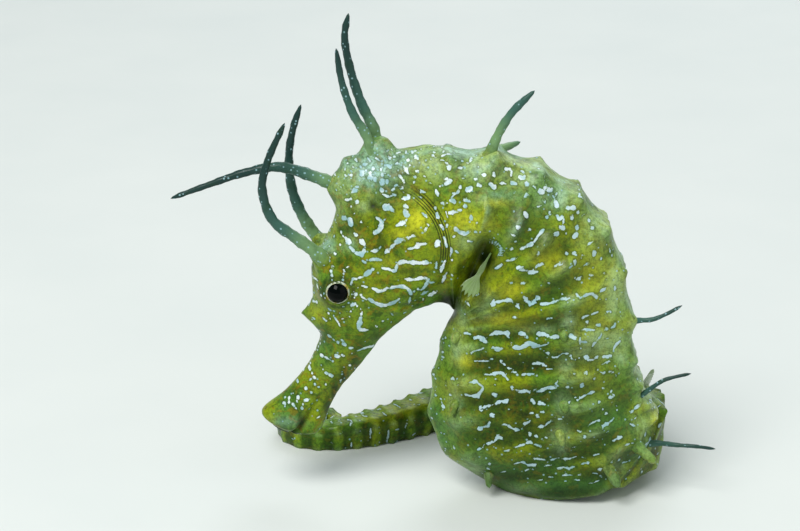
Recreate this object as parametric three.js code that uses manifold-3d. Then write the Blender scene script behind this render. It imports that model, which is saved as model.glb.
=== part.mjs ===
// A long-snouted seahorse resting on its belly, head bent down and tail coiled behind it.
// Millimetres, +Z up, snout toward -X, left flank toward -Y.
import * as THREE from 'three';
import { mergeVertices } from 'three/addons/utils/BufferGeometryUtils.js';
import Module from 'manifold-3d';

// Parting gap between neighbouring pieces, and the step that looks for a clear root
const GAP = 0.3;
const ROOT_STEP = 0.1;

// Section: columns round the body, counted from the back over the left flank to the keel
const COLUMNS = 16;
const SUPERIOR = 1;
const LATERAL = 3;
const INFERIOR = 6;
const KEEL = 8;
const RIDGE_HEIGHT = { [SUPERIOR]: 0.45, [LATERAL]: 0.3, [INFERIOR]: 0.4, [KEEL]: 0.1 };
const TUBERCLE_HEIGHT = { [SUPERIOR]: 0.9, [LATERAL]: 0.8, [INFERIOR]: 0.7, [KEEL]: 0.25 };
const SECTION_WIDTHS = [0, 0.5, 0.8, 1, 1, 0.9, 0.66, 0.3, 0];
const TUBERCLE_REACH = 0.3;
const GROOVE_DEPTH = 0.25;
const STEPS_PER_RING = 4;
const STEPS_PER_HEAD_STATION = 3;
const STEPS_PER_TAIL_RING = 2;

// Landmarks of the head and trunk in the middle plane: name, belly side X and Z, back side X and Z,
// half width. One trunk ring follows the next from the nape down.
const LANDMARKS = [
  ['mouth', -12.6, 8.7, -16.4, 10.2, 1.8],
  ['lips', -10.3, 9.6, -17.3, 12.2, 2.5],
  ['snout front', -8.9, 13.1, -14.5, 15.1, 2.2],
  ['snout middle', -7.5, 15.7, -12.1, 18.1, 2.1],
  ['snout rear', -5.3, 18.5, -10.7, 20.7, 2.4],
  ['snout root', -3.6, 20.8, -10.1, 22.9, 3.1],
  ['nose', -2.1, 22.9, -10.6, 25.2, 3.8],
  ['eye', 0.9, 25.5, -11.0, 29.6, 4.4],
  ['brow', 2.3, 26.6, -10.9, 32.7, 4.6],
  ['forehead', 3.8, 27.1, -9.3, 35.6, 4.8],
  ['crown', 4.8, 27.4, -8.0, 39.0, 4.8],
  ['temple', 6.0, 27.2, -7.3, 44.6, 4.7],
  ['coronet root', 6.5, 26.8, -3.9, 46.7, 4.6],
  ['nape', 6.7, 26.4, 1.2, 47.1, 4.8],
  ['ring 1', 6.8, 26.2, 5.8, 47.1, 5.1],
  ['ring 2', 6.8, 25.9, 11.7, 46.9, 5.3],
  ['ring 3', 6.7, 25.5, 17.4, 45.2, 5.6],
  ['ring 4', 6.5, 25.1, 22.2, 42.1, 5.9],
  ['ring 5', 6.2, 24.6, 25.8, 37.9, 6.1],
  ['ring 6', 5.9, 24.0, 28.0, 32.2, 6.3],
  ['ring 7', 5.2, 22.2, 29.2, 26.0, 6.4],
  ['ring 8', 4.3, 17.6, 29.8, 20.4, 6.4],
  ['ring 9', 3.8, 12.0, 30.8, 17.0, 6.3],
  ['ring 10', 6.0, 6.2, 32.0, 14.2, 6.0],
  ['ring 11', 13.4, 1.2, 33.0, 12.4, 5.4],
];
const at = Object.fromEntries(LANDMARKS.map(([name], i) => [name, i]));

// Tail: the height of the floor, and the tail's middle line on it, which leaves the trunk to the
// right, loops behind it, comes round to the left and ends in a coil
const TAIL_RINGS = 38;
const FLOOR = 1.3;
const TAIL_PLAN = [
  [26.4, 0.3], [29.6, 3.2], [30.6, 9.5], [30.2, 17.0], [26.0, 24.0], [18.5, 26.8],
  [10.8, 24.2], [4.2, 19.4], [-1.4, 15.8], [-6.6, 13.6],
];
const COIL_CENTRE = [-11.2, 18.0];
const COIL_RADIUS = 5.0;
const COIL_PITCH = 3.4;
const COIL_TURNS = 1.15;
const COIL_START = -1.42;

// Tail thickness, the tilt it takes over from the trunk, its arch off the floor, its ridges
const TAIL_HALF_START = 7.4;
const TAIL_HALF_ROOT = 4.6;
const TAIL_HALF_TIP = 0.55;
const TAIL_ROOT_FADE = 2.2;
const TAIL_TILT_START = 0.86;
const TAIL_TILT_FADE = 3.2;
const TAIL_SINK = 0.22;
const TAIL_TAPER = 0.8;
const TAIL_LIFT = 2.0;
const TAIL_LIFT_RING = 2.6;
const TAIL_LIFT_REACH = 2.4;
const TAIL_RIDGE = 0.18;
const TAIL_TUBERCLE = 0.42;
const TAIL_COLUMNS = 8;
const TAIL_SQUARENESS = 0.2;
const TAIL_SLIMMING = 0.94;
const RING_CROWDING = 1.25;

// Eyes, gill covers, coronet
const EYE_RADIUS = 1.8;
const EYE_CENTRE = [-7.7, 3.5, 30.1];
const ORBIT_RADII = [2.8, 1.5, 2.6];
const GILL_CENTRE = [1.4, 3.7, 33.6];
const GILL_RADII = [5.6, 2.1, 6.8];
const CORONET_BASE = [-2.9, 0, 45.9];
const CORONET_HEIGHT = 2.4;
const CORONET_RADIUS = 2.1;
const CORONET_POINTS = 5;

// Spines of the head: place, direction, root radius, length
const HEAD_SPINES = [
  { at: [-9.6, 0, 25.6], to: [-1, 0, 0.15], root: 1.3, length: 2.9 },
  { at: [-9.4, 2.7, 34.0], to: [-0.7, 0.25, 0.65], root: 1.5, length: 3.4 },
  { at: [-6.2, 0, 42.2], to: [-1, 0, 0.2], root: 1.9, length: 3.2 },
  { at: [-0.2, 4.2, 27.6], to: [0.1, 0.9, -0.4], root: 1.0, length: 1.7 },
];

// Filaments: name, points from root to tip, root and tip radius
const FILAMENTS = [
  ['coronet_filament_left', [[-3.5, -1.0, 47.2], [-4.1, -1.0, 49.2], [-5.7, -1.1, 52.0],
    [-7.0, -1.0, 55.8], [-7.7, -1.0, 60.2]], 0.78, 0.32],
  ['coronet_filament_right', [[-2.8, 1.0, 47.2], [-3.2, 1.0, 49.4], [-4.7, 1.2, 52.6],
    [-6.2, 1.2, 57.6], [-6.7, 1.2, 61.2], [-6.2, 1.2, 64.0]], 0.85, 0.32],
  ['forehead_filament', [[-7.4, 0, 42.4], [-10.4, 0, 43.6], [-14.8, 0, 44.9], [-19.0, 0, 44.2],
    [-23.6, 0, 42.6], [-28.4, 0, 40.8]], 0.95, 0.3],
  ['brow_filament_left', [[-10.6, -3.2, 35.1], [-12.9, -3.3, 36.9], [-15.6, -3.4, 39.2],
    [-16.8, -3.4, 43.2], [-16.1, -3.3, 46.6], [-13.9, -3.2, 51.5]], 0.92, 0.3],
  ['brow_filament_right', [[-10.4, 3.2, 34.6], [-12.2, 3.3, 37.4], [-13.5, 3.3, 41.0],
    [-13.8, 3.3, 45.4], [-13.2, 3.2, 49.0], [-12.2, 3.2, 52.0]], 0.92, 0.3],
  ['nape_filament_left', [[11.4, -2.4, 47.6], [12.2, -2.2, 50.0], [13.6, -2.1, 52.4],
    [16.3, -2.0, 55.2]], 0.75, 0.5],
  ['nape_filament_right', [[11.7, 2.4, 46.1], [12.7, 3.5, 46.2], [13.9, 4.6, 46.3],
    [15.1, 5.4, 46.5]], 0.65, 0.45],
  ['back_filament_left_upper', [[29.7, -3.0, 25.8], [31.4, -3.2, 26.0], [33.2, -3.3, 26.8],
    [35.1, -3.4, 28.0]], 0.5, 0.27],
  ['back_filament_left_lower', [[31.4, -3.0, 16.4], [33.2, -3.2, 17.8], [34.6, -3.3, 18.3],
    [36.6, -3.4, 18.8]], 0.5, 0.27],
  ['tail_filament_left', [[33.4, -1.2, 8.2], [35.4, -2.2, 8.4], [37.6, -2.8, 8.5],
    [40.2, -3.2, 8.3]], 0.5, 0.27],
  ['back_filament_right_upper', [[19.5, 6.2, 32.0], [20.2, 7.6, 32.4], [20.8, 9.0, 32.4],
    [21.2, 10.6, 31.8]], 0.5, 0.27],
  ['back_filament_right_lower', [[26.4, 5.6, 22.2], [27.2, 7.0, 22.5], [27.9, 8.4, 22.4],
    [28.4, 9.8, 21.8]], 0.5, 0.27],
];

// Fleshy spines of the trunk's lower left flank, laid out as the filaments are
const FLANK_SPINES = [
  ['flank_spine_lower', [[25.1, -5.2, 6.9], [26.1, -5.8, 6.0], [26.9, -6.2, 5.3],
    [27.7, -6.4, 4.4]], 0.8, 0.4],
  ['flank_spine_rear', [[29.7, -4.0, 8.7], [30.7, -4.3, 8.1], [31.7, -4.5, 7.5],
    [32.6, -4.6, 7.0]], 0.75, 0.4],
];
const FILAMENT_SIDES = 6;
const FILAMENT_STEPS_PER_MM = 0.55;
const FILAMENT_ROOT_FLARE = 1.35;

// Fins
const FIN_THICKNESS = 0.55;
const FIN_RAYS = 7;

const wasm = await Module();
wasm.setup();

function closed(geometry) {
  const bare = geometry.index ? geometry : geometry.clone();
  bare.deleteAttribute('normal');
  bare.deleteAttribute('uv');
  const merged = mergeVertices(bare, 1e-4);
  const p = merged.attributes.position;
  const index = merged.index.array;
  const a = new THREE.Vector3();
  const b = new THREE.Vector3();
  const c = new THREE.Vector3();
  let volume = 0;
  const kept = [];
  for (let i = 0; i < index.length; i += 3) {
    const [u, v, w] = [index[i], index[i + 1], index[i + 2]];
    if (u === v || v === w || w === u) continue;
    a.fromBufferAttribute(p, u);
    b.fromBufferAttribute(p, v);
    c.fromBufferAttribute(p, w);
    volume += a.dot(b.cross(c)) / 6;
    kept.push(u, v, w);
  }
  if (volume < 0) kept.reverse();
  return new wasm.Manifold(new wasm.Mesh({
    numProp: 3,
    vertProperties: new Float32Array(p.array),
    triVerts: new Uint32Array(kept),
  }));
}

function toGeometry(solid) {
  const mesh = solid.getMesh();
  const geometry = new THREE.BufferGeometry();
  geometry.setAttribute('position', new THREE.BufferAttribute(mesh.vertProperties, 3));
  geometry.setIndex(new THREE.BufferAttribute(mesh.triVerts, 1));
  return geometry;
}

function largest(solid) {
  return solid.decompose().sort((a, b) => b.volume() - a.volume())[0];
}

// A closed skin swept along a line: place(t, column angle, radius) puts each vertex
function sweep(columns, steps, place) {
  const geometry = new THREE.CylinderGeometry(1, 1, 1, columns, steps);
  const p = geometry.attributes.position;
  for (let i = 0; i < p.count; i += 1) {
    const radius = Math.hypot(p.getX(i), p.getZ(i));
    const angle = Math.atan2(p.getX(i), p.getZ(i));
    const spot = place(0.5 - p.getY(i), (angle + 2 * Math.PI) % (2 * Math.PI), radius);
    p.setXYZ(i, spot.x, spot.y, spot.z);
  }
  return closed(geometry);
}

function catmull(rows, s) {
  const last = rows.length - 1;
  const i = Math.min(Math.max(Math.floor(s), 0), last - 1);
  const t = s - i;
  const [a, b, c, d] = [i - 1, i, i + 1, i + 2].map((k) => rows[Math.min(Math.max(k, 0), last)]);
  return b.map((_, k) => 0.5 * (2 * b[k] + (c[k] - a[k]) * t
    + (2 * a[k] - 5 * b[k] + 4 * c[k] - d[k]) * t * t
    + (3 * b[k] - a[k] - 3 * c[k] + d[k]) * t * t * t));
}

// Sections of the whole animal as rows: centre X, Y, Z, half depth, half width, tilt of the
// belly-to-back line from upright, turn of the section about the vertical
function trunkRow([, bellyX, bellyZ, backX, backZ, halfWidth]) {
  const [dx, dz] = [backX - bellyX, backZ - bellyZ];
  return [(bellyX + backX) / 2, 0, (bellyZ + backZ) / 2, Math.hypot(dx, dz) / 2, halfWidth,
    Math.atan2(dx, dz), 0];
}

function tailRows() {
  const points = TAIL_PLAN.map(([x, y]) => new THREE.Vector3(x, y, 0));
  const coilSteps = 12;
  for (let i = 0; i <= coilSteps; i += 1) {
    const turn = (i / coilSteps) * COIL_TURNS;
    const radius = COIL_RADIUS - COIL_PITCH * turn;
    const angle = COIL_START - turn * 2 * Math.PI;
    points.push(new THREE.Vector3(
      COIL_CENTRE[0] + radius * Math.cos(angle),
      COIL_CENTRE[1] + radius * Math.sin(angle),
      0,
    ));
  }
  const line = new THREE.CatmullRomCurve3(points, false, 'centripetal');
  line.arcLengthDivisions = 800;
  const rows = [];
  let turn = 0;
  for (let ring = 0; ring < TAIL_RINGS; ring += 1) {
    const q = 1 - (1 - ring / (TAIL_RINGS - 1)) ** RING_CROWDING;
    const spot = line.getPointAt(q);
    const heading = line.getTangentAt(q);
    const raw = Math.atan2(heading.y, heading.x);
    turn = raw + 2 * Math.PI * Math.round((turn - raw) / (2 * Math.PI));
    const slender = TAIL_HALF_TIP + (TAIL_HALF_ROOT - TAIL_HALF_TIP) * (1 - q) ** TAIL_TAPER;
    const root = Math.exp(-((ring / TAIL_ROOT_FADE) ** 2));
    const halfDepth = slender + (TAIL_HALF_START - TAIL_HALF_ROOT) * root;
    const halfWidth = slender * (0.98 + 0.06 * root);
    const tilt = TAIL_TILT_START * Math.exp(-((ring / TAIL_TILT_FADE) ** 2));
    const reach = Math.max(halfDepth * Math.cos(tilt), slender * 0.9);
    const lift = TAIL_LIFT * Math.exp(-(((ring - TAIL_LIFT_RING) / TAIL_LIFT_REACH) ** 2));
    const z = FLOOR + reach - TAIL_SINK + lift;
    rows.push([spot.x, spot.y, z, halfDepth, halfWidth, tilt, turn]);
  }
  return rows;
}

const ROWS = [...LANDMARKS.map(trunkRow), ...tailRows()];
const FIRST_RING = at['ring 1'];
const TAIL_START = LANDMARKS.length;
const TIP = ROWS.length - 1;

function sectionFrame(s) {
  const [x, y, z, halfDepth, halfWidth, tilt, turn] = catmull(ROWS, s);
  return {
    centre: new THREE.Vector3(x, y, z),
    back: new THREE.Vector3(
      Math.sin(tilt) * Math.cos(turn),
      Math.sin(tilt) * Math.sin(turn),
      Math.cos(tilt),
    ),
    flank: new THREE.Vector3(Math.sin(turn), -Math.cos(turn), 0),
    halfDepth,
    halfWidth,
  };
}

function trunkPoint(s, angle, radius) {
  const { centre, back, flank, halfDepth, halfWidth } = sectionFrame(s);
  if (radius === 0) return centre;
  const column = Math.round((angle / (2 * Math.PI)) * COLUMNS) % COLUMNS;
  const mirrored = column > KEEL ? COLUMNS - column : column;
  const side = column > KEEL ? -1 : 1;
  const depth = Math.cos(angle);
  const ringed = THREE.MathUtils.smoothstep(s, FIRST_RING - 1, FIRST_RING + 0.5);
  const headed = 1 - ringed;
  const width = side * (ringed * SECTION_WIDTHS[mirrored]
    + headed * Math.abs(Math.sin(angle)) ** 0.85);
  const phase = Math.abs(s - Math.round(s));
  const tubercle = Math.max(0, 1 - phase / TUBERCLE_REACH);
  const crowded = Math.min(1, halfDepth / 8);
  const relief = ringed * crowded * ((RIDGE_HEIGHT[mirrored] ?? 0)
    + tubercle * (TUBERCLE_HEIGHT[mirrored] ?? 0)
    - GROOVE_DEPTH * (phase / 0.5));
  const out = back.clone().multiplyScalar(depth).addScaledVector(flank, width).normalize();
  return centre.clone()
    .addScaledVector(back, halfDepth * depth)
    .addScaledVector(flank, halfWidth * width)
    .addScaledVector(out, relief);
}

function tailPoint(s, angle, radius) {
  const { centre, back, flank, halfDepth, halfWidth } = sectionFrame(s);
  if (radius === 0) return centre;
  const [c, w] = [Math.cos(angle), Math.sin(angle)];
  const corner = Math.min(Math.abs(c), Math.abs(w)) / Math.SQRT1_2;
  const square = TAIL_SLIMMING * (1 + TAIL_SQUARENESS * corner);
  const phase = Math.abs(s - Math.round(s));
  const size = Math.min(1, halfWidth / TAIL_HALF_ROOT + 0.15);
  const relief = size * (corner > 0.9 ? TAIL_RIDGE + TAIL_TUBERCLE * (1 - 2 * phase) : 0);
  const out = back.clone().multiplyScalar(c).addScaledVector(flank, w).normalize();
  return centre.clone()
    .addScaledVector(back, halfDepth * square * c)
    .addScaledVector(flank, halfWidth * square * w)
    .addScaledVector(out, relief);
}

function cutPlane(s) {
  const { centre, back, flank } = sectionFrame(s);
  const ahead = back.clone().cross(flank).normalize();
  const further = sectionFrame(s + 0.05).centre.sub(centre);
  if (ahead.dot(further) < 0) ahead.negate();
  return { centre, ahead };
}

function keepAfter(solid, s) {
  const { centre, ahead } = cutPlane(s);
  return solid.trimByPlane(ahead.toArray(), ahead.dot(centre) + GAP / 2);
}

function keepBefore(solid, s) {
  const { centre, ahead } = cutPlane(s);
  const behind = ahead.clone().negate();
  return solid.trimByPlane(behind.toArray(), behind.dot(centre) + GAP / 2);
}

function aboveFloor(solid) {
  return solid.trimByPlane([0, 0, 1], FLOOR);
}

function length(from, to, stepsPerStation, point, columns, margin) {
  const start = Math.max(0, from - margin);
  const end = Math.min(TIP, to + margin);
  const steps = Math.round((end - start) * stepsPerStation);
  let solid = sweep(columns, steps, (t, angle, radius) => (
    point(start + (end - start) * t, angle, radius)));
  if (start < from) solid = keepAfter(solid, from);
  if (end > to) solid = keepBefore(solid, to);
  return largest(aboveFloor(solid));
}

function ellipsoid([x, y, z], [rx, ry, rz], tilt = 0) {
  const geometry = new THREE.SphereGeometry(1, 14, 10);
  geometry.scale(rx, ry, rz);
  geometry.rotateY(tilt);
  geometry.translate(x, y, z);
  return closed(geometry);
}

function spine({ at: [x, y, z], to, root, length: tall }, side) {
  const geometry = new THREE.CylinderGeometry(root * 0.28, root, tall, 8, 1);
  const direction = new THREE.Vector3(to[0], to[1] * side, to[2]).normalize();
  const turn = new THREE.Quaternion().setFromUnitVectors(new THREE.Vector3(0, 1, 0), direction);
  geometry.applyQuaternion(turn);
  const middle = direction.multiplyScalar(tall / 2 - 0.4);
  geometry.translate(x + middle.x, y * side + middle.y, z + middle.z);
  return closed(geometry);
}

function filament(points, rootRadius, tipRadius) {
  const line = new THREE.CatmullRomCurve3(points.map((p) => new THREE.Vector3(...p)));
  const steps = Math.max(6, Math.round(line.getLength() * FILAMENT_STEPS_PER_MM));
  const frames = line.computeFrenetFrames(steps, false);
  return sweep(FILAMENT_SIDES, steps, (t, angle, radius) => {
    const i = Math.round(t * steps);
    const taper = rootRadius + (tipRadius - rootRadius) * Math.sqrt(t);
    const size = radius * taper * (1 + (FILAMENT_ROOT_FLARE - 1) * (1 - t) ** 8);
    return line.getPointAt(i / steps)
      .addScaledVector(frames.normals[i], size * Math.cos(angle))
      .addScaledVector(frames.binormals[i], size * Math.sin(angle));
  });
}

// A fan-shaped fin lying in the XY plane: its root is at the origin and it opens toward +X
function fan(radius, spread, rootWidth) {
  const outline = new THREE.Shape();
  outline.moveTo(0, -rootWidth / 2);
  const edgeSteps = FIN_RAYS * 2;
  for (let i = 0; i <= edgeSteps; i += 1) {
    const angle = spread * (i / edgeSteps - 0.5);
    const reach = radius * (i % 2 ? 1 : 0.95) * (1 - 0.12 * (i / edgeSteps - 0.5) ** 2);
    outline.lineTo(reach * Math.cos(angle), reach * Math.sin(angle));
  }
  outline.lineTo(0, rootWidth / 2);
  const geometry = new THREE.ExtrudeGeometry(outline, {
    depth: FIN_THICKNESS, bevelEnabled: false, steps: 1,
  });
  geometry.translate(0, 0, -FIN_THICKNESS / 2);
  return geometry;
}

// Turns a flat fin so that its +X runs along `along` and its +Z along `facing`
function setFin(geometry, root, along, facing) {
  const x = new THREE.Vector3(...along).normalize();
  const z = new THREE.Vector3(...facing).addScaledVector(x, -x.dot(new THREE.Vector3(...facing)));
  z.normalize();
  const y = z.clone().cross(x);
  geometry.applyMatrix4(new THREE.Matrix4().makeBasis(x, y, z).setPosition(...root));
  return closed(geometry);
}

// Cuts the root of a piece square, far enough out to clear the hosts it grows from by the gap
function growFrom(piece, hosts, direction, root) {
  const out = new THREE.Vector3(...direction).normalize();
  let offset = out.dot(new THREE.Vector3(...root));
  let bare = piece.trimByPlane(out.toArray(), offset);
  while (hosts.some((host) => bare.intersect(host).volume() > 0)) {
    offset += ROOT_STEP;
    bare = piece.trimByPlane(out.toArray(), offset);
  }
  return largest(piece.trimByPlane(out.toArray(), offset + GAP));
}

// Head: swept body, gill covers, eye rims and spines, with a socket for each eye
const HEAD_CUT = at['snout root'] + 0.4;
const NECK_CUT = at.nape + 0.35;
const margin = 0.7;
const snout = length(0, HEAD_CUT, 4, trunkPoint, COLUMNS, margin);

function makeHead() {
  let solid = length(HEAD_CUT, NECK_CUT, STEPS_PER_HEAD_STATION, trunkPoint, COLUMNS, margin);
  const eyes = [];
  for (const side of [-1, 1]) {
    const [ex, ey, ez] = EYE_CENTRE;
    const [gx, gy, gz] = GILL_CENTRE;
    solid = solid.add(ellipsoid([gx, gy * side, gz], GILL_RADII, 0.25));
    solid = solid.add(ellipsoid([ex, ey * side, ez], ORBIT_RADII));
    const eye = ellipsoid([ex, ey * side, ez], [EYE_RADIUS, EYE_RADIUS, EYE_RADIUS]);
    const socket = EYE_RADIUS + GAP;
    solid = solid.subtract(ellipsoid([ex, ey * side, ez], [socket, socket, socket]));
    eyes.push(eye);
  }
  for (const row of HEAD_SPINES) {
    for (const side of row.at[1] ? [-1, 1] : [1]) solid = solid.add(spine(row, side));
  }
  return [largest(keepBefore(keepAfter(solid, HEAD_CUT), NECK_CUT)), ...eyes];
}

const [head, eyeLeft, eyeRight] = makeHead();
const neck = length(NECK_CUT, at['ring 2'] + 0.5, STEPS_PER_RING, trunkPoint, COLUMNS, margin);

function makeCoronet() {
  const flare = (t) => 0.75 + 0.35 * (1 - t) ** 2;
  const crown = sweep(CORONET_POINTS * 2, 4, (t, angle, radius) => {
    const points = 1 + 0.24 * Math.cos(CORONET_POINTS * angle) * (1 - t);
    const size = CORONET_RADIUS * flare(t) * points * radius;
    const dip = radius === 0 && t < 0.5 ? 0.6 : 0;
    return new THREE.Vector3(
      CORONET_BASE[0] + size * Math.cos(angle) - 0.3 * (1 - t),
      size * Math.sin(angle),
      CORONET_BASE[2] + CORONET_HEIGHT * (1 - t) - dip,
    );
  });
  return growFrom(crown, [head, neck], [-0.2, 0, 1], CORONET_BASE);
}

const coronet = makeCoronet();

const trunkCuts = [at['ring 2'] + 0.5, at['ring 5'] + 0.5, at['ring 8'] + 0.5];
const trunkUpper = length(trunkCuts[0], trunkCuts[1], STEPS_PER_RING, trunkPoint, COLUMNS, margin);
const trunkMiddle = length(trunkCuts[1], trunkCuts[2], STEPS_PER_RING, trunkPoint, COLUMNS, margin);
const TAIL_CUT = TAIL_START + 0.5;
const trunkLower = length(trunkCuts[2], TAIL_CUT, STEPS_PER_RING, trunkPoint, COLUMNS, margin);
const tailCuts = [TAIL_CUT, 6, 12, 18, 24, 30].map((ring, i) => (
  i ? TAIL_START + ring + 0.5 : ring));
const tail = tailCuts.map((from, i) => {
  const to = tailCuts[i + 1] ?? TIP;
  return length(from, to, STEPS_PER_TAIL_RING, tailPoint, TAIL_COLUMNS, margin);
});

const flesh = {
  snout, head, coronet, neck,
  trunk_upper: trunkUpper,
  trunk_middle: trunkMiddle,
  trunk_lower: trunkLower,
};
tail.forEach((piece, i) => {
  flesh[`tail_${i + 1}`] = piece;
});

const hosts = Object.values(flesh);
const filaments = {};
for (const [name, points, rootRadius, tipRadius] of FILAMENTS) {
  const direction = points[1].map((v, k) => v - points[0][k]);
  const whole = filament(points, rootRadius, tipRadius);
  filaments[name] = growFrom(whole, hosts, direction, points[0]);
}

const flankSpines = {};
for (const [name, points, rootRadius, tipRadius] of FLANK_SPINES) {
  const direction = points[1].map((v, k) => v - points[0][k]);
  const others = [...hosts, ...Object.values(filaments)];
  flankSpines[name] = growFrom(filament(points, rootRadius, tipRadius), others, direction,
    points[0]);
}

// Fins: name, root, direction the fin opens to, direction its face looks to, root cut, size
const FINS = [
  { name: 'pectoral_fin_left', root: [11.9, -4.9, 36.2], along: [-0.6, -0.34, -0.74],
    facing: [-0.2, -1, -0.1], away: [-0.1, -1, -0.1], size: [6.2, 0.55, 2.0] },
  { name: 'pectoral_fin_right', root: [11.9, 4.9, 36.2], along: [-0.6, 0.34, -0.74],
    facing: [-0.2, 1, -0.1], away: [-0.1, 1, -0.1], size: [6.2, 0.55, 2.0] },
  { name: 'dorsal_fin', root: [30.4, 1.6, 13.4], along: [0.55, 0.78, 0.3],
    facing: [0.6, -0.35, -0.2], away: [0.55, 0.78, 0.3], size: [4.6, 1.9, 3.2] },
  { name: 'anal_fin', root: [19.0, 1.2, 2.4], along: [0.35, 0.93, -0.08],
    facing: [0, 0.1, 1], away: [0.35, 0.93, -0.08], size: [3.4, 1.2, 1.6] },
];

const fins = {};
for (const { name, root, along, facing, away, size } of FINS) {
  fins[name] = growFrom(setFin(fan(...size), root, along, facing), hosts, away, root);
}

const COLOURS = {
  skin: { color: 0x7c8a1e, roughness: 0.42, metalness: 0 },
  dark: { color: 0x1f3a33, roughness: 0.5, metalness: 0 },
  fin: { color: 0xa9b98a, roughness: 0.4, metalness: 0 },
  eye: { color: 0x120d08, roughness: 0.08, metalness: 0 },
};

const group = new THREE.Group();

function addPiece(name, solid, colour) {
  const mesh = new THREE.Mesh(toGeometry(solid), new THREE.MeshStandardMaterial(colour));
  mesh.name = name;
  group.add(mesh);
}

for (const [name, solid] of Object.entries(flesh)) addPiece(name, solid, COLOURS.skin);
for (const [name, solid] of Object.entries(flankSpines)) addPiece(name, solid, COLOURS.skin);
for (const [name, solid] of Object.entries(filaments)) addPiece(name, solid, COLOURS.dark);
for (const [name, solid] of Object.entries(fins)) addPiece(name, solid, COLOURS.fin);
addPiece('eye_left', eyeLeft, COLOURS.eye);
addPiece('eye_right', eyeRight, COLOURS.eye);

// The origin is the middle of the box at the level of the floor
const box = new THREE.Box3().setFromObject(group);
const middle = box.getCenter(new THREE.Vector3());
group.position.set(-middle.x, -middle.y, -box.min.z);

export default group;
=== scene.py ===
import math

import bmesh
import bpy
import numpy as np
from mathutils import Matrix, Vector, kdtree
from mathutils.bvhtree import BVHTree


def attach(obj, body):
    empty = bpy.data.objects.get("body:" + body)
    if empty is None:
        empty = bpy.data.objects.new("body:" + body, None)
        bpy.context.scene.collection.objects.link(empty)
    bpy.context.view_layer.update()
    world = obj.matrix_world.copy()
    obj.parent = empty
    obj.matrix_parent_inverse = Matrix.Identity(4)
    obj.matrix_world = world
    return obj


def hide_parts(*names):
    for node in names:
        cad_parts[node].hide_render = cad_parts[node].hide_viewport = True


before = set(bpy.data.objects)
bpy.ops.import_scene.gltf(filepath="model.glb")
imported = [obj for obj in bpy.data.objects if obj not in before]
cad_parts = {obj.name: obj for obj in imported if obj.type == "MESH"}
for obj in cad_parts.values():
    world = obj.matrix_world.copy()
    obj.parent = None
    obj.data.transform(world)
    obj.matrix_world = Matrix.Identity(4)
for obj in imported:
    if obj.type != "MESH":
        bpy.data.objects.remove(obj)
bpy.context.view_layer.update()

MM = 0.001
SEED = 20
rng = np.random.default_rng(SEED)

FULL_TURN = 2 * math.pi
NUDGE = 1e-3  # a small step along a line, to find its direction

# The body is laid out in millimetres and then moved by SHIFT, so that its box stands on the origin
SHIFT = np.array([-5.877239, -11.189201, -1.3])
FLOOR = 1.3

# Head and trunk in the middle plane: belly side X and Z, back side X and Z, half width
LANDMARKS = [
    (-12.6, 8.7, -16.4, 10.2, 1.8),  # mouth
    (-10.3, 9.6, -17.3, 12.2, 2.5),  # lips
    (-8.9, 13.1, -14.5, 15.1, 2.2),  # snout front
    (-7.5, 15.7, -12.1, 18.1, 2.1),
    (-5.3, 18.5, -10.7, 20.7, 2.4),
    (-3.6, 20.8, -10.1, 22.9, 3.1),  # snout root
    (-2.1, 22.9, -10.6, 25.2, 3.8),
    (0.9, 25.5, -11.0, 29.6, 4.4),  # eye
    (2.3, 26.6, -10.9, 32.7, 4.6),
    (3.8, 27.1, -9.3, 35.6, 4.8),
    (4.8, 27.4, -8.0, 39.0, 4.8),  # crown
    (6.0, 27.2, -7.3, 44.6, 4.7),
    (6.5, 26.8, -3.9, 46.7, 4.6),  # coronet
    (6.7, 26.4, 1.2, 47.1, 4.8),  # nape
    (6.8, 26.2, 5.8, 47.1, 5.1),  # first trunk ring
    (6.8, 25.9, 11.7, 46.9, 5.3),
    (6.7, 25.5, 17.4, 45.2, 5.6),
    (6.5, 25.1, 22.2, 42.1, 5.9),
    (6.2, 24.6, 25.8, 37.9, 6.1),
    (5.9, 24.0, 28.0, 32.2, 6.3),
    (5.2, 22.2, 29.2, 26.0, 6.4),
    (4.3, 17.6, 29.8, 20.4, 6.4),
    (3.8, 12.0, 30.8, 17.0, 6.3),
    (6.0, 6.2, 32.0, 14.2, 6.0),
    (13.4, 1.2, 33.0, 12.4, 5.4),  # eleventh ring
]
FIRST_RING = 14
KEEL_START = 20  # the first ring whose keel shows below the head
TAIL_START = len(LANDMARKS)
TAIL_RINGS = 38
TIP = TAIL_START + TAIL_RINGS - 1
TRUNK_END, TAIL_BEGIN = 24.6, 26.4  # the trunk's form runs into the tail's between these rows
FLANK_MARKS_END, RING_MARKS_START = 25.6, 24.8  # rows
THROAT = (6.6, 0, 25.4)  # the rings of the trunk fan out round this

# Tail: half widths at its root and tip and how it tapers, the deeper root where it leaves the trunk,
# how far it leans over there, how much closer the rings stand toward the tip
TAIL_ROOT, TAIL_TIP, TAIL_TAPER = 4.6, 0.55, 0.8
TAIL_ROOT_DEPTH, TAIL_LEAN, RING_CROWDING = 7.4, 0.86, 1.25
# The line the tail follows on the floor, X and Y, and the coil at its end
TAIL_PLAN = [
    (26.4, 0.3), (29.6, 3.2), (30.6, 9.5), (30.2, 17.0), (26.0, 24.0), (18.5, 26.8),
    (10.8, 24.2), (4.2, 19.4), (-1.4, 15.8), (-6.6, 13.6),
]
COIL_CENTRE = (-11.2, 18.0)
COIL_RADIUS, COIL_PITCH, COIL_TURNS, COIL_START = 5.0, 3.4, 1.15, -1.42
COIL_POINTS = 13

# Trunk section, half widths from the back (column 0) over the flank to the keel (column 8)
SECTION_WIDTHS = [0, 0.5, 0.8, 1, 1, 0.9, 0.66, 0.3, 0]
KEEL_COLUMN = len(SECTION_WIDTHS) - 1
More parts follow.
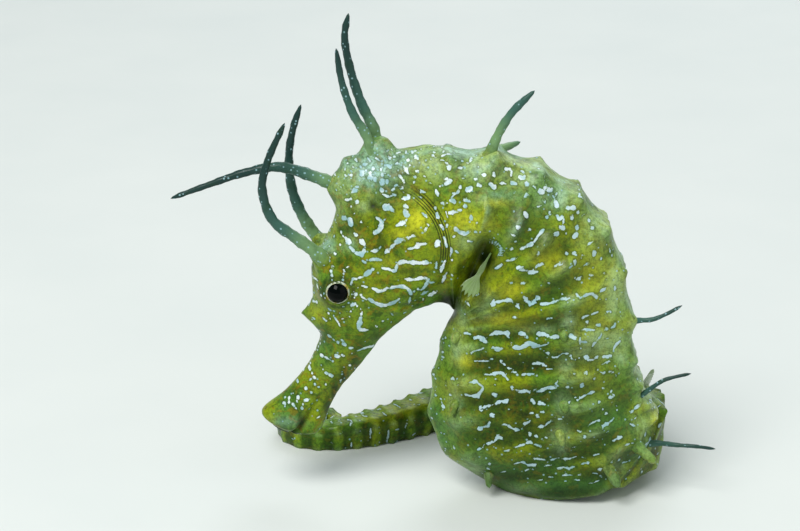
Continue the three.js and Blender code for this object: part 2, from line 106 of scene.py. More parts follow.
# Ridges along the trunk: column, height of the ridge, height of the knobs on it in mm
RIDGES = [(1, 0.3, 0.55), (3, 0.2, 0.6), (6, 0.3, 0.6), (8, 0.12, 0.1)]

EYE_CENTRE = (-7.7, 3.5, 30.1)
EYE_RADIUS = 1.8
LID_INNER, LID_OUTER = 1.7, 3.3  # the lids rise between these distances from the eye's axis
LID_HEIGHT = 4.5                 # from the middle plane

# Features of the head and shoulder, as places X and Z in the side view, and sizes in mm
GILL_DOME, GILL_DOME_HALVES, GILL_DOME_TURN, GILL_DOME_HEIGHT = (1.2, 34.4), (6.6, 8.2), 0.25, 0.95
GILL_CENTRE = (-2.2, 36.1)  # the rear edge of the gill cover is an arc round this
GILL_EDGE_HEIGHT, GILL_GROOVE_DEPTH, GILL_GROOVE_RADIUS = 0.42, 0.3, 8.75
GILL_LINES_PER_MM = 3.4
SHOULDER_PAD, SHOULDER_REACH, SHOULDER_HEIGHT = (13.2, 37.6), 2.0, 0.35
BROW_RIDGE, BROW_REACH, BROW_STRETCH, BROW_HEIGHT = (-7.4, 33.6), 1.5, 1.3, 0.35
CORONET_X, CORONET_FOOT, CORONET_POINTS, CORONET_HEIGHT = -2.9, 43, 5, 1.7
FIN_HOLLOW_TOP, FIN_HOLLOW_FOOT, FIN_HOLLOW_DEPTH = (10.4, 35.9), (8.0, 29.6), 2.5
CHEEK_PORE, PORE_RADIUS, PORE_DEPTH = (-3.4, 41.5), 0.4, 0.5

# Head spines: place, direction, root radius, length; one off the middle plane is on both sides
SPINES = [
    ((-10.6, 0, 25.6), (-1, 0, 0.05), 2.8, 1.9),
    ((-6.4, 0, 45.7), (-0.8, 0, 0.6), 2.6, 0.8),
    ((3.6, 0, 47.0), (0.1, 0, 1), 4.4, 0.8),
    ((-9.4, -2.9, 33.6), (-0.9, -0.25, 0.5), 2.4, 1.8),
    ((-7.6, 0, 42.2), (-1, 0, 0.2), 2.8, 1.4),
    ((-0.2, -4.4, 27.6), (0.1, -0.9, -0.4), 1.2, 1.1),
]

# Filaments: points from root to tip, root and tip radius
FILAMENTS = [
    ([(-3.2, -0.9, 45.6), (-3.5, -1.0, 47.2), (-4.1, -1.0, 49.2), (-5.7, -1.1, 52.0),
      (-7.0, -1.0, 55.8), (-7.7, -1.0, 60.2)], 0.78, 0.34),
    ([(-2.6, 0.9, 45.6), (-2.8, 1.0, 47.2), (-3.2, 1.0, 49.4), (-4.7, 1.2, 52.6),
      (-6.2, 1.2, 57.6), (-6.7, 1.2, 61.2), (-6.2, 1.2, 64.0)], 0.85, 0.4),
    ([(-5.6, 0, 42.0), (-7.4, 0, 42.4), (-10.4, 0, 43.6), (-14.8, 0, 44.9), (-19.0, 0, 44.2),
      (-23.6, 0, 42.6), (-28.4, 0, 40.8)], 0.98, 0.3),
    ([(-9.2, -2.9, 33.7), (-10.6, -3.2, 35.1), (-12.9, -3.3, 36.9), (-15.6, -3.4, 39.2),
      (-16.8, -3.4, 43.2), (-16.1, -3.3, 46.6), (-13.9, -3.2, 51.5)], 0.92, 0.36),
    ([(-9.2, 2.9, 33.4), (-10.4, 3.2, 34.6), (-12.2, 3.3, 37.4), (-13.5, 3.3, 41.0),
      (-13.8, 3.3, 45.4), (-13.2, 3.2, 49.0), (-12.2, 3.2, 52.0)], 0.92, 0.38),
    ([(10.7, -1.3, 46.4), (11.2, -1.3, 47.6), (12.1, -1.4, 49.8), (13.6, -1.5, 52.3),
      (16.3, -1.6, 55.1)], 0.7, 0.44),
    ([(10.9, 1.6, 45.9), (11.7, 2.4, 46.1), (12.7, 3.5, 46.2), (13.9, 4.6, 46.3),
      (15.1, 5.4, 46.5)], 0.65, 0.5),
    ([(28.4, -3.0, 25.6), (29.7, -3.0, 25.8), (31.4, -3.2, 26.0), (33.2, -3.3, 26.8),
      (35.1, -3.4, 28.0)], 0.42, 0.2),
    ([(29.0, -2.4, 14.0), (31.4, -3.0, 16.4), (33.2, -3.2, 17.8), (34.6, -3.3, 18.3),
      (36.6, -3.4, 18.8)], 0.42, 0.2),
    ([(31.8, -0.8, 8.0), (33.4, -1.2, 8.2), (35.4, -2.2, 8.4), (37.6, -2.8, 8.5),
      (40.2, -3.2, 8.3)], 0.42, 0.2),
    ([(18.7, 5.2, 31.6), (19.5, 6.2, 32.0), (20.2, 7.6, 32.4), (20.8, 9.0, 32.4),
      (21.2, 10.6, 31.8)], 0.42, 0.2),
    ([(25.6, 4.6, 21.8), (26.4, 5.6, 22.2), (27.2, 7.0, 22.5), (27.9, 8.4, 22.4),
      (28.4, 9.8, 21.8)], 0.42, 0.2),
]

# Filaments start this far under their first point, in mm
ROOT_DEPTH = 1.3

# Filaments thinner than SMALL_ROOT are as dark from their root as the large ones are DARK_ROOT along
SMALL_ROOT, DARK_ROOT = 0.6, 6.0

# The skin rises round a root as a cone: how wide and how high, in root radii
FLARE_REACH, FLARE_HEIGHT = 3.0, 1.4

# Short fleshy spines on the trunk: points from root to tip, root and tip radius
FINGERS = [
    ([(25.2, -4.4, 8.4), (25.9, -5.0, 7.4), (26.7, -5.7, 6.2), (27.3, -6.2, 5.2),
      (27.7, -6.5, 4.4)], 1.0, 0.62),
    ([(29.3, -3.4, 9.6), (30.2, -3.9, 8.9), (31.1, -4.3, 8.2), (31.9, -4.5, 7.5),
      (32.5, -4.7, 7.0)], 0.95, 0.55),
    ([(26.6, -2.6, 22.4), (27.4, -3.0, 21.9), (28.4, -3.2, 21.0), (29.2, -3.3, 19.9)], 1.0, 0.6),
    ([(26.6, -2.2, 25.8), (27.4, -2.6, 25.4), (28.3, -2.9, 24.8), (29.1, -3.0, 24.0)], 0.85, 0.4),
]

# Pale papillae on the flanks, on the same side plan as the marks: place, then length in mm
PAPILLA_ROOT, PAPILLA_TIP = 0.55, 0.34
PAPILLAE = [(563, 333, 1.5), (564, 405, 1.6), (560, 434, 1.9), (457, 336, 1.4), (455, 404, 1.8),
            (489, 474, 1.5)]

# White marks on a side plan of the left flank: half width, then points. The plan's unit is an
# eighth of a millimetre, seen from PLAN_EYE toward PLAN_TARGET, and both flanks carry it.
PLAN_EYE = np.array([0.0, -263.1, 127.8])
PLAN_TARGET = np.array([0.0, 0.0, 32.0])
PLAN_SCALE = 2240.0
VIEW_SIZE = (800, 531)
PLAN_CENTRE = (VIEW_SIZE[0] / 2, VIEW_SIZE[1] / 2)
PLAN_UNITS_PER_MM = 8.1
DOT_LENGTH = 0.5     # a mark of one point is this long
STROKE_LENGTH = 3.0  # a longer mark is a stroke
HEAD_STROKE = 1.2    # strokes on the head are this much wider than listed
MARK_STEP = 1.2      # distance between the points that a mark is laid on the skin by
HEAD_MARKS = [
    (2.0, (326, 254), (329, 261)), (1.2, (333, 267)), (1.2, (331, 271), (331, 272)), (1.1, (332, 275)),
    (1.0, (332, 280), (332, 281)), (1.1, (348.5, 266.6), (346.8, 267.6)),
    (1.0, (344.3, 270.4), (344.3, 270.8)), (1.0, (343.6, 273.4), (343.6, 273.8)), (0.9, (343.3, 276.5)),
    (0.9, (343.3, 280), (343.5, 280.5)), (1.1, (351, 284), (352, 281)),
    (0.8, (317.1, 290.7), (317.1, 291)), (0.7, (320.7, 287.1), (320.7, 287.4)),
    (0.7, (324, 293.4), (324, 293.8)), (0.8, (325, 297.9), (325, 298.2)),
    (0.8, (328.6, 313.2), (328.6, 313.6)), (0.7, (333.6, 315.7), (333.6, 316)),
    (0.7, (347.1, 311.4), (347.1, 311.8)), (0.8, (350.7, 311.1), (350.7, 311.5)),
    (0.8, (353, 308.8), (353, 309.2)), (0.8, (360.9, 308.6), (360.9, 309)),
    (0.8, (353.6, 291.2), (353.6, 291.5)), (0.8, (354.5, 297.6), (354.5, 298)),
    (0.8, (357.9, 287.3), (357.9, 287.7)), (0.8, (348.5, 303), (348.9, 303.2)),
    (0.7, (343.6, 306.8), (344, 307)), (0.7, (330.2, 318.6), (330.2, 319)),
    (0.7, (343, 319), (343, 319.4)), (0.7, (349.5, 316.5), (349.5, 316.9)),
    (1.2, (353, 279), (356, 279)), (1.1, (359, 278), (363, 277)),
    (2.1, (364, 276), (368, 273), (373, 269)), (1.0, (352, 294)), (1.2, (356, 294)),
    (1.2, (361, 295), (362, 297)), (1.4, (352, 305), (355, 304)), (1.1, (357, 306)),
    (1.2, (362, 286), (367, 287)), (1.4, (313, 301), (317, 302)), (1.8, (328, 308), (330, 310)),
    (1.0, (334, 311)), (0.9, (340, 313)), (1.1, (322, 317), (326, 321)),
    (1.1, (335, 318), (338, 322), (340, 326)), (1.1, (317, 285), (318, 288)), (1.2, (321, 295)),
    (1.0, (312, 276), (318, 281)), (1.0, (362, 312), (361, 316)),
    (2.0, (361, 316), (360, 322), (358, 328)), (1.4, (358, 328), (361, 330), (368, 330)),
    (1.8, (376, 217), (382, 222)), (2.4, (382, 222), (380, 230), (375, 233)),
    (1.0, (384, 220), (387, 216)), (2.2, (386, 207), (390, 208)), (1.2, (392, 210), (394, 211)),
    (1.5, (405, 206), (408, 207)), (2.2, (405, 212), (407, 215)),
    (1.8, (407, 219), (405, 222), (400, 224), (396, 226)), (1.5, (425, 231), (428, 225)),
    (1.5, (422, 213), (427, 217)), (1.4, (437, 214), (438, 217)), (1.2, (415, 235), (408, 238)),
    (1.9, (408, 238), (397, 241), (391, 248)), (1.5, (391, 248), (385, 253)),
    (1.7, (427, 243), (420, 245), (414, 248)), (1.0, (414, 248), (408, 249)),
    (1.2, (382, 246), (376, 251), (371, 251)), (2.0, (436, 246), (438, 242)),
    (1.7, (432, 262), (420, 263), (408, 262), (401, 262), (397, 265), (396, 269)),
    (1.5, (370, 260), (375, 259), (381, 260)), (2.4, (356, 253), (361, 255), (364, 251)),
    (1.1, (363, 261), (366, 263)), (1.1, (382, 268), (388, 269), (393, 271), (396, 271)),
    (1.4, (427, 278), (421, 278), (413, 280), (405, 279)),
    (1.5, (372, 288), (378, 291), (383, 291), (387, 288)),
    (1.6, (391, 288), (398, 286), (405, 287), (410, 291), (411, 294)),
    (1.9, (369, 299), (375, 303), (384, 306), (393, 303), (399, 299)), (1.0, (362, 297), (367, 300)),
    (1.2, (430, 283), (435, 282)), (1.2, (429, 279), (424, 288), (421, 290)),
    (1.6, (421, 295), (428, 291)), (1.6, (428, 296), (437, 291)), (0.9, (414, 291)), (0.9, (418, 289)),
    (1.3, (410, 298), (409, 304)), (0.9, (415, 300)), (0.9, (423, 299)), (1.3, (436, 268), (437, 262)),
    (1.5, (441, 272), (443, 266), (445, 261)), (1.4, (442, 283), (445, 275), (447, 272)),
    (1.1, (444, 237), (447, 247)), (1.3, (345, 169)), (1.8, (350, 175), (352, 175)),
    (2.0, (362, 172), (362, 174)), (2.0, (370, 173), (370, 177)), (1.5, (364, 164), (367, 164)),
    (1.6, (373, 168)), (1.1, (360, 166)), (1.3, (376, 158)), (1.5, (381, 169)),
    (1.8, (382, 173), (382, 175)), (1.5, (375, 179), (375, 180)), (1.8, (382, 180), (382, 183)),
    (1.6, (387, 181), (387, 183)), (1.3, (390, 158)), (1.5, (397, 163)), (1.1, (395, 154), (400, 152)),
    (1.4, (406, 151), (406, 153)), (1.5, (412, 151), (412, 153)), (1.3, (418, 158), (418, 159)),
    (1.2, (408, 160)), (1.4, (404, 166), (408, 173)), (1.7, (399, 175), (403, 180)), (1.3, (415, 177)),
    (1.3, (414, 182), (414, 183)), (1.3, (390, 167), (387, 165)), (2.0, (356, 187), (358, 187)),
    (2.2, (352, 192), (355, 190)), (1.6, (345, 200), (351, 199)), (2.2, (355, 204), (357, 202)),
    (2.0, (381, 189), (382, 191)), (1.5, (383, 194), (388, 197)), (2.2, (343, 218), (345, 218)),
    (2.3, (350, 220), (351, 224)), (2.0, (346, 238), (349, 242)), (1.4, (343, 236), (344, 237)),
    (2.3, (354, 233), (356, 235)), (2.5, (362, 242), (364, 244)), (1.1, (341, 232)), (1.1, (334, 236)),
    (1.4, (350, 247), (353, 250)), (1.6, (335, 253)), (1.1, (329, 246)), (1.2, (323, 249)),
    (1.0, (361, 221), (361, 222)), (1.1, (340, 244), (340, 245)), (1.7, (402, 199), (409, 198)),
    (1.1, (401, 189), (403, 188)), (1.0, (404, 194), (410, 196)), (1.0, (391, 196), (397, 194)),
    (1.1, (418, 190), (426, 193)), (1.5, (436, 190), (438, 196)), (1.8, (435, 207)),
    (1.1, (420, 197), (424, 199)), (1.6, (329, 336), (331, 337)), (1.5, (333, 339), (334, 340)),
    (1.4, (338, 342)), (1.4, (342, 340), (343, 341)), (1.9, (344, 344), (345, 345)),
    (1.4, (350, 348), (352, 348)), (2.4, (321, 355), (322, 356)), (1.6, (325, 357), (330, 360)),
    (1.3, (333, 361)), (1.8, (337, 356), (338, 356.5)), (1.4, (342, 355), (344, 356)),
    (1.0, (352, 353)), (1.1, (357, 351), (362, 349)), (1.5, (362, 349), (368, 347), (375, 346)),
    (1.1, (321, 365)), (1.2, (323, 369)), (1.3, (326, 373), (327, 373.5)),
    (1.6, (330, 375), (332, 376)), (1.5, (309, 367), (310, 369)), (1.0, (312, 373)),
    (1.2, (314, 377), (315, 378)), (1.3, (310, 380), (311, 379)), (1.3, (297, 380), (298, 382)),
    (1.0, (315, 384)), (1.6, (318, 387), (319, 387)), (1.5, (306, 388)), (1.1, (311, 392)),
    (1.0, (293, 393)), (1.1, (285, 397)), (1.2, (289, 398)), (1.5, (298, 397)), (1.2, (297, 401)),
    (1.5, (305, 400), (307, 400)), (1.2, (289, 402)), (1.2, (284, 403), (285, 404)), (1.3, (285, 406)),
    (1.0, (293, 404), (294, 406)), (1.1, (296, 408)), (1.1, (303, 404), (303, 405)), (1.0, (302, 408)),
    (1.0, (310, 408), (309, 409)), (1.3, (317, 418), (319, 417)), (0.9, (340, 362)), (0.9, (344, 367)),
    (0.9, (350, 365)), (0.9, (355, 368)), (1.2, (344, 383), (346, 382)), (1.0, (335, 395), (337, 394)),
    (1.0, (341, 380)), (0.9, (326, 384)), (0.8, (353, 155)), (0.8, (357, 161)), (0.8, (361, 167)),
    (0.7, (366, 170)), (0.9, (433, 155)), (0.8, (431, 159)), (0.8, (436, 157)), (1.0, (434, 152)),
    (0.9, (437, 172)), (0.9, (440, 186)), (0.8, (395, 186), (397, 185)), (0.8, (392, 190), (394, 189)),
    (0.8, (402, 184), (404, 183)), (0.8, (398, 170)), (0.8, (410, 165)), (0.8, (426, 160)),
    (0.9, (341, 187)), (0.9, (346, 187)), (0.8, (365, 186)), (0.7, (362, 189)), (0.7, (379, 160)),
    (0.8, (385, 165)), (0.7, (385, 173)), (1.0, (416, 171), (419, 171)), (0.8, (351, 206), (351, 207)),
    (0.8, (354, 214), (356, 212)), (0.7, (367, 226), (368, 228)), (0.9, (428, 168)), (0.8, (424, 176)),
    (0.8, (430, 183)), (0.8, (421, 149)), (0.8, (400, 157)), (0.7, (370, 161)),
    (1.1, (376, 326), (377, 327)), (1.2, (391, 313), (393, 315)), (1.0, (383, 321)), (0.9, (391, 322)),
    (1.1, (404, 313), (406, 312)),
]
TRUNK_MARKS = [
    (1.9, (442, 156), (447, 154), (451, 154)), (1.2, (441, 160), (443, 160)),
    (1.0, (445, 162), (448, 164)), (1.8, (449, 167), (449, 169)), (1.7, (459, 168), (461, 168)),
    (1.3, (456, 160), (456, 161)), (1.3, (462, 161), (463, 161)), (1.3, (468, 163)),
    (1.5, (478, 166), (478, 167)), (1.8, (484, 175), (485, 175)), (1.7, (494, 173), (494, 175)),
    (1.7, (463, 178)), (1.4, (475, 179), (476, 179)), (2.2, (478, 185), (481, 186)),
    (1.8, (446, 184), (450, 181)), (1.2, (444, 179), (447, 179)), (1.2, (460, 186), (460, 188)),
    (2.0, (490, 184), (494, 187)), (1.4, (500, 183), (506, 184)), (1.7, (513, 183), (516, 184)),
    (1.5, (506, 169), (510, 169)), (1.3, (511, 175)), (1.8, (520, 177), (523, 179)),
    (1.2, (522, 171), (524, 173)), (1.9, (527, 184), (527, 187)), (1.6, (534, 186), (536, 188)),
    (1.4, (546, 184), (545, 188)), (2.2, (540, 191), (543, 192)), (1.9, (549, 190), (551, 190)),
    (2.4, (467, 190), (470, 189)), (2.0, (454, 194), (458, 192)), (1.1, (451, 198), (454, 195)),
    (2.0, (452, 200), (454, 202)), (2.0, (465, 200), (470, 201)), (1.6, (465, 206)),
    (1.4, (441, 203), (448, 203)), (2.1, (449, 213), (455, 212), (461, 210)), (1.1, (470, 211)),
    (2.0, (471, 217), (471, 219)), (1.1, (477, 223)), (1.3, (446, 212), (448, 219)),
    (1.6, (441, 225), (443, 229)), (1.3, (447, 225), (447, 226)), (1.6, (455, 228), (458, 231)),
    (2.2, (459, 232), (465, 234), (470, 231)), (1.7, (475, 232), (476, 232)), (1.1, (480, 232)),
    (1.4, (468, 241), (474, 243)), (1.1, (454, 236)), (1.4, (450, 256), (452, 251), (451, 248)),
    (1.0, (456, 251), (458, 253)), (1.1, (452, 260)), (1.1, (483, 252), (483, 253)),
    (1.2, (457, 278), (458, 278)), (1.2, (457, 285)), (0.9, (452, 275)),
    (0.7, (490.2, 239.2), (489.2, 243.6)), (0.7, (493.4, 239.5), (491.6, 243.7)),
    (0.7, (496.4, 241.1), (493.9, 244.7)), (0.7, (499, 242.8), (495.7, 245.8)),
    (0.7, (501.2, 245), (497.3, 247.3)), (0.7, (502.6, 247.5), (498.6, 248.9)),
    (0.7, (503, 250.1), (498.9, 250.8)), (0.7, (503, 252.8), (498.9, 252.8)),
    (0.7, (502.4, 255.6), (498.5, 254.9)), (1.3, (505, 261), (511, 260), (517, 258)),
    (1.7, (495, 269), (501, 265)), (1.9, (517, 227), (519, 228)), (1.2, (511, 234), (515, 236)),
    (1.1, (514, 242), (517, 241)), (1.2, (510, 250), (512, 249)),
    (1.9, (521, 249), (528, 246), (534, 242)), (1.2, (534, 242), (538, 236)),
    (2.0, (538, 236), (543, 230)), (2.4, (525, 213), (527, 216)),
    (1.1, (524, 199), (526, 194), (530, 196)), (2.0, (543, 200), (545, 202)),
    (1.1, (535, 208), (541, 206)), (1.0, (553, 196), (554, 198)), (1.9, (556, 203), (557, 206)),
    (2.0, (567, 208), (568, 208)), (1.8, (573, 208), (574, 208)), (1.4, (578, 212)),
    (1.6, (572, 216), (572, 218)), (1.1, (547, 217)), (1.0, (550, 212), (550, 214)),
    (1.6, (557, 216), (559, 219)), (2.1, (562, 218), (564, 219)), (1.1, (564, 219), (563, 224)),
    (1.9, (561, 227), (563, 228)), (1.6, (577, 227), (577, 228)), (1.9, (555, 234), (557, 234)),
    (2.0, (574, 237), (577, 234)), (1.2, (530, 229), (530, 230)), (1.9, (539, 252), (538, 255)),
    (1.8, (536, 267), (539, 264), (543, 264)), (1.8, (518, 268), (523, 267)),
    (1.0, (519, 270), (530, 271), (538, 272)), (1.9, (529, 273), (535, 273)),
    (1.3, (554, 267), (560, 264), (564, 264)), (1.7, (570, 267), (571, 267)),
    (1.3, (508, 283), (514, 283)), (1.5, (521, 283), (525, 283)), (1.6, (548, 283), (552, 284)),
    (1.7, (496, 302), (503, 301), (509, 300), (515, 303), (519, 308)),
    (2.1, (524, 297), (528, 301), (530, 306)), (1.6, (530, 306), (534, 302), (536, 298)),
    (1.9, (537, 297), (538, 298)), (2.0, (541, 304), (546, 304), (551, 303)),
    (1.2, (551, 303), (556, 301), (563, 299), (570, 298)), (1.2, (576, 293), (580, 298)),
    (1.5, (580, 298), (586, 295), (592, 293), (596, 297), (600, 299)), (1.2, (513, 317), (518, 318)),
    (1.1, (545, 319), (552, 318)), (1.1, (466, 302), (470, 306)), (1.1, (465, 314)),
    (1.4, (475, 296), (479, 294)), (1.6, (490, 303), (493, 306), (494, 300)),
    (1.1, (459, 334), (461, 337)), (1.8, (464, 333), (471, 334)),
    (2.4, (475, 338), (481, 337), (486, 342)),
    (1.9, (490, 335), (496, 332), (503, 333), (507, 332), (509, 338)), (1.9, (520, 333), (524, 334)),
    (1.1, (527, 337)), (2.2, (537, 334), (544, 334), (548, 336)),
    (1.9, (550, 337), (557, 337), (562, 334)), (1.2, (562, 334), (563, 329)),
    (2.0, (571, 336), (575, 338)), (2.1, (492, 347), (498, 350), (503, 348)),
    (2.4, (512, 343), (514, 347), (520, 348), (525, 346), (530, 342), (536, 346), (541, 346)),
    (1.1, (541, 346), (548, 344)), (1.2, (543, 351), (548, 353), (553, 358), (558, 357)),
    (1.6, (471, 353), (474, 351)), (1.0, (474, 351), (479, 350), (484, 348)),
    (0.9, (474, 361), (482, 361), (489, 361)), (1.3, (491, 359), (492, 359)),
    (1.7, (501, 361), (505, 365)), (1.0, (520, 363), (524, 363)),
    (1.6, (532, 364), (540, 363), (546, 366)), (1.4, (508, 368), (513, 370), (517, 375)),
    (1.2, (483, 374), (489, 375)), (1.9, (489, 375), (496, 373), (501, 372), (505, 376)),
    (0.9, (506, 377), (509, 381)), (1.2, (521, 375), (526, 374)), (1.8, (526, 374), (537, 375)),
    (0.8, (546, 369), (552, 369)), (1.8, (469, 383), (475, 381), (479, 384)),
    (1.3, (479, 384), (484, 388)), (1.9, (483, 388), (481, 392), (478, 396), (470, 396)),
    (1.6, (470, 396), (464, 394)), (1.4, (452, 378), (455, 379)), (1.1, (457, 384)),
    (1.3, (449, 393), (452, 397)), (0.8, (446, 381), (446, 388)), (1.0, (441, 400), (442, 403)),
    (1.6, (443, 406), (444, 407)), (0.9, (445, 414), (448, 418)), (1.9, (493, 394), (495, 395)),
    (1.1, (496, 379)), (1.0, (495, 385)),
    (1.7, (511, 386), (514, 390), (521, 392), (525, 390), (530, 393)), (1.2, (534, 390), (536, 389)),
    (2.0, (537, 392), (543, 390), (548, 387), (555, 388)),
    (1.2, (557, 380), (556, 384), (559, 387), (559, 391)), (2.1, (480, 407), (481, 408)),
    (1.3, (482, 408), (487, 406)), (1.6, (487, 406), (492, 405)),
    (1.6, (496, 404), (500, 401), (505, 403), (509, 398)), (1.0, (525, 402), (525, 403)),
    (1.4, (532, 400), (534, 403)), (1.8, (540, 403), (545, 404)), (0.8, (508, 409), (515, 411)),
    (1.8, (492, 415), (494, 416)), (1.5, (530, 413), (533, 413)), (1.2, (537, 415), (538, 417)),
    (1.2, (541, 412), (545, 412)), (1.0, (470, 420), (473, 423)), (1.0, (480, 410), (483, 412)),
    (2.6, (479, 429), (483, 427)), (1.5, (483, 427), (488, 427), (490, 422)),
    (2.0, (501, 424), (507, 425)), (1.4, (507, 425), (513, 429)), (1.9, (513, 429), (519, 430)),
    (2.1, (523, 426), (527, 422), (530, 422)), (2.0, (538, 427), (545, 426)),
    (1.2, (545, 426), (549, 422), (555, 417)), (1.3, (559, 419), (562, 419)),
    (1.2, (457, 437), (461, 440)), (2.0, (474, 438), (477, 438)), (1.9, (498, 437), (503, 439)),
    (1.8, (478, 450), (483, 446)), (1.3, (483, 446), (490, 443), (496, 440)), (1.0, (499, 431)),
    (1.3, (530, 434), (530, 435)), (1.4, (536, 436), (537, 437)), (1.3, (543, 436), (547, 438)),
    (1.6, (453, 446), (454, 448)), (1.2, (515, 447), (520, 446), (525, 444)),
    (1.6, (525, 444), (529, 442), (532, 443)), (1.3, (534, 444), (540, 446), (545, 444), (552, 444)),
    (1.4, (500, 452), (506, 452), (511, 450)), (1.5, (532, 457), (538, 459), (545, 460)),
    (1.2, (551, 460), (559, 458)), (1.2, (562, 459), (570, 459), (576, 457)),
    (1.5, (487, 471), (489, 465), (492, 461)), (1.8, (492, 460), (500, 459), (503, 460)),
    (1.3, (513, 464), (518, 463), (522, 461), (526, 464)), (1.9, (529, 465), (534, 465)),
    (1.0, (541, 466), (552, 465)), (1.4, (501, 472), (507, 470)),
    (1.0, (521, 472), (527, 470), (535, 469)), (1.9, (523, 477), (525, 477)),
    (1.6, (558, 468), (568, 468), (575, 467)), (1.3, (482, 472), (482, 473)),
    (1.4, (538, 480), (543, 480)), (1.1, (548, 477), (554, 477)), (1.2, (561, 475), (572, 475)),
    (1.2, (564, 481), (565, 481)), (1.2, (575, 480), (580, 480)), (1.2, (578, 475), (582, 475)),
    (1.1, (593, 473), (598, 474)), (0.9, (588, 483), (592, 483)), (1.0, (595, 482), (600, 480)),
    (0.9, (580, 338), (580, 344), (581, 349)), (1.3, (581, 341), (588, 343)),
    (1.3, (592, 347), (595, 342), (600, 338), (601, 333)), (1.2, (605, 339), (609, 338)),
    (1.4, (620, 341), (615, 346), (613, 351)), (1.3, (563, 353), (569, 354), (572, 359)),
    (1.0, (575, 359)), (1.0, (579, 358)), (2.2, (586, 357), (587, 358)), (2.5, (596, 357), (597, 357)),
    (1.3, (588, 360), (594, 360)), (1.9, (603, 357), (611, 356)),
    (0.9, (602, 365), (606, 362), (611, 361)), (2.1, (585, 373), (586, 373)),
    (1.6, (597, 369), (597, 370)), (1.6, (602, 374), (604, 373)), (1.8, (574, 373), (575, 374)),
    (1.0, (608, 372), (614, 372), (616, 376)), (1.6, (594, 379), (595, 379)),
    (1.7, (582, 384), (582, 386)), (1.5, (567, 387), (568, 387)), (1.5, (602, 388), (604, 388)),
    (1.2, (615, 383), (615, 384)), (1.0, (612, 390), (611, 392)),
    (1.0, (579, 399), (584, 396), (590, 393)), (1.7, (590, 393), (596, 391)),
    (1.2, (575, 397), (578, 401)), (1.8, (609, 398), (613, 396)), (1.9, (599, 402), (600, 402)),
    (1.1, (567, 404), (570, 402)), (1.2, (580, 406), (579, 411)), (1.9, (593, 410), (593, 412)),
    (1.1, (603, 409)), (1.4, (605, 414), (607, 413)),
    (0.9, (585, 430), (586, 427), (592, 423), (598, 420)), (1.3, (599, 420)),
    (1.8, (603, 426), (609, 423)), (1.2, (609, 423), (613, 419)), (1.3, (578, 431), (580, 432)),
    (1.9, (600, 432), (601, 433)), (1.2, (606, 433), (607, 433)), (1.4, (583, 439), (585, 437)),
    (1.5, (597, 441)), (1.2, (573, 447), (577, 446)), (1.2, (613, 441), (618, 438)),
    (1.8, (618, 438), (621, 437)), (1.1, (631, 413), (634, 409)), (1.4, (634, 409), (641, 404)),
    (0.9, (617, 405), (617, 406)), (0.9, (617, 410)), (1.2, (619, 414), (619, 415)),
    (1.2, (634, 420), (637, 416)), (1.4, (645, 435), (646, 431)), (1.5, (646, 442), (646, 444)),
    (1.1, (630, 424), (635, 426)), (1.1, (624, 447), (628, 444), (634, 443)),
    (1.1, (593, 455), (599, 454)), (1.1, (583, 457), (584, 457)), (1.5, (588, 462), (588, 463)),
    (1.1, (582, 465), (584, 463)), (1.3, (603, 450), (604, 450)), (1.5, (600, 469), (600, 470)),
    (0.9, (605, 467), (608, 471)), (1.2, (610, 463), (613, 461)), (1.9, (618, 460), (619, 460)),
    (1.3, (622, 463), (628, 461)), (1.3, (639, 457), (642, 459)), (1.0, (625, 473), (630, 470)),
    (1.2, (587, 245), (590, 243), (595, 241)), (1.9, (594, 253), (594, 256)),
    (1.9, (582, 256), (582, 258)), (1.8, (574, 253), (576, 255)), (1.7, (566, 253), (567, 254)),
    (1.7, (575, 262), (575, 265)), (1.8, (584, 266), (589, 263)), (1.0, (600, 259), (601, 259)),
    (1.0, (593, 267)), (1.6, (590, 275), (592, 275)), (1.2, (602, 274), (606, 273)),
    (1.5, (575, 278), (578, 279), (582, 277)), (1.0, (606, 280)), (1.3, (615, 287), (615, 289)),
    (1.5, (601, 291), (605, 289)), (1.0, (561, 294), (563, 294)), (1.0, (606, 299)), (1.0, (568, 303)),
    (0.9, (582, 320), (583, 317), (590, 315)), (1.2, (590, 315), (598, 312)),
    (1.5, (607, 312), (610, 312)), (1.0, (587, 322)), (1.5, (597, 325), (600, 325)),
    (1.5, (582, 330), (587, 330), (594, 330)), (1.3, (606, 329), (607, 329)),
    (1.2, (611, 328), (614, 327), (616, 322)), (1.2, (589, 220), (589, 221)),
    (1.4, (592, 228), (593, 228)), (0.9, (603, 210)), (0.9, (607, 244), (607, 245)),
    (0.9, (610, 251), (610, 252)), (0.9, (612, 255), (612, 256)), (0.9, (566, 233), (566, 234)),
    (1.0, (603, 215)), (1.3, (565, 171), (566, 172)), (1.2, (576, 176), (577, 178)),
    (1.0, (581, 188), (581, 189)), (1.2, (590, 201), (592, 204)), (1.4, (580, 197), (583, 198)),
]

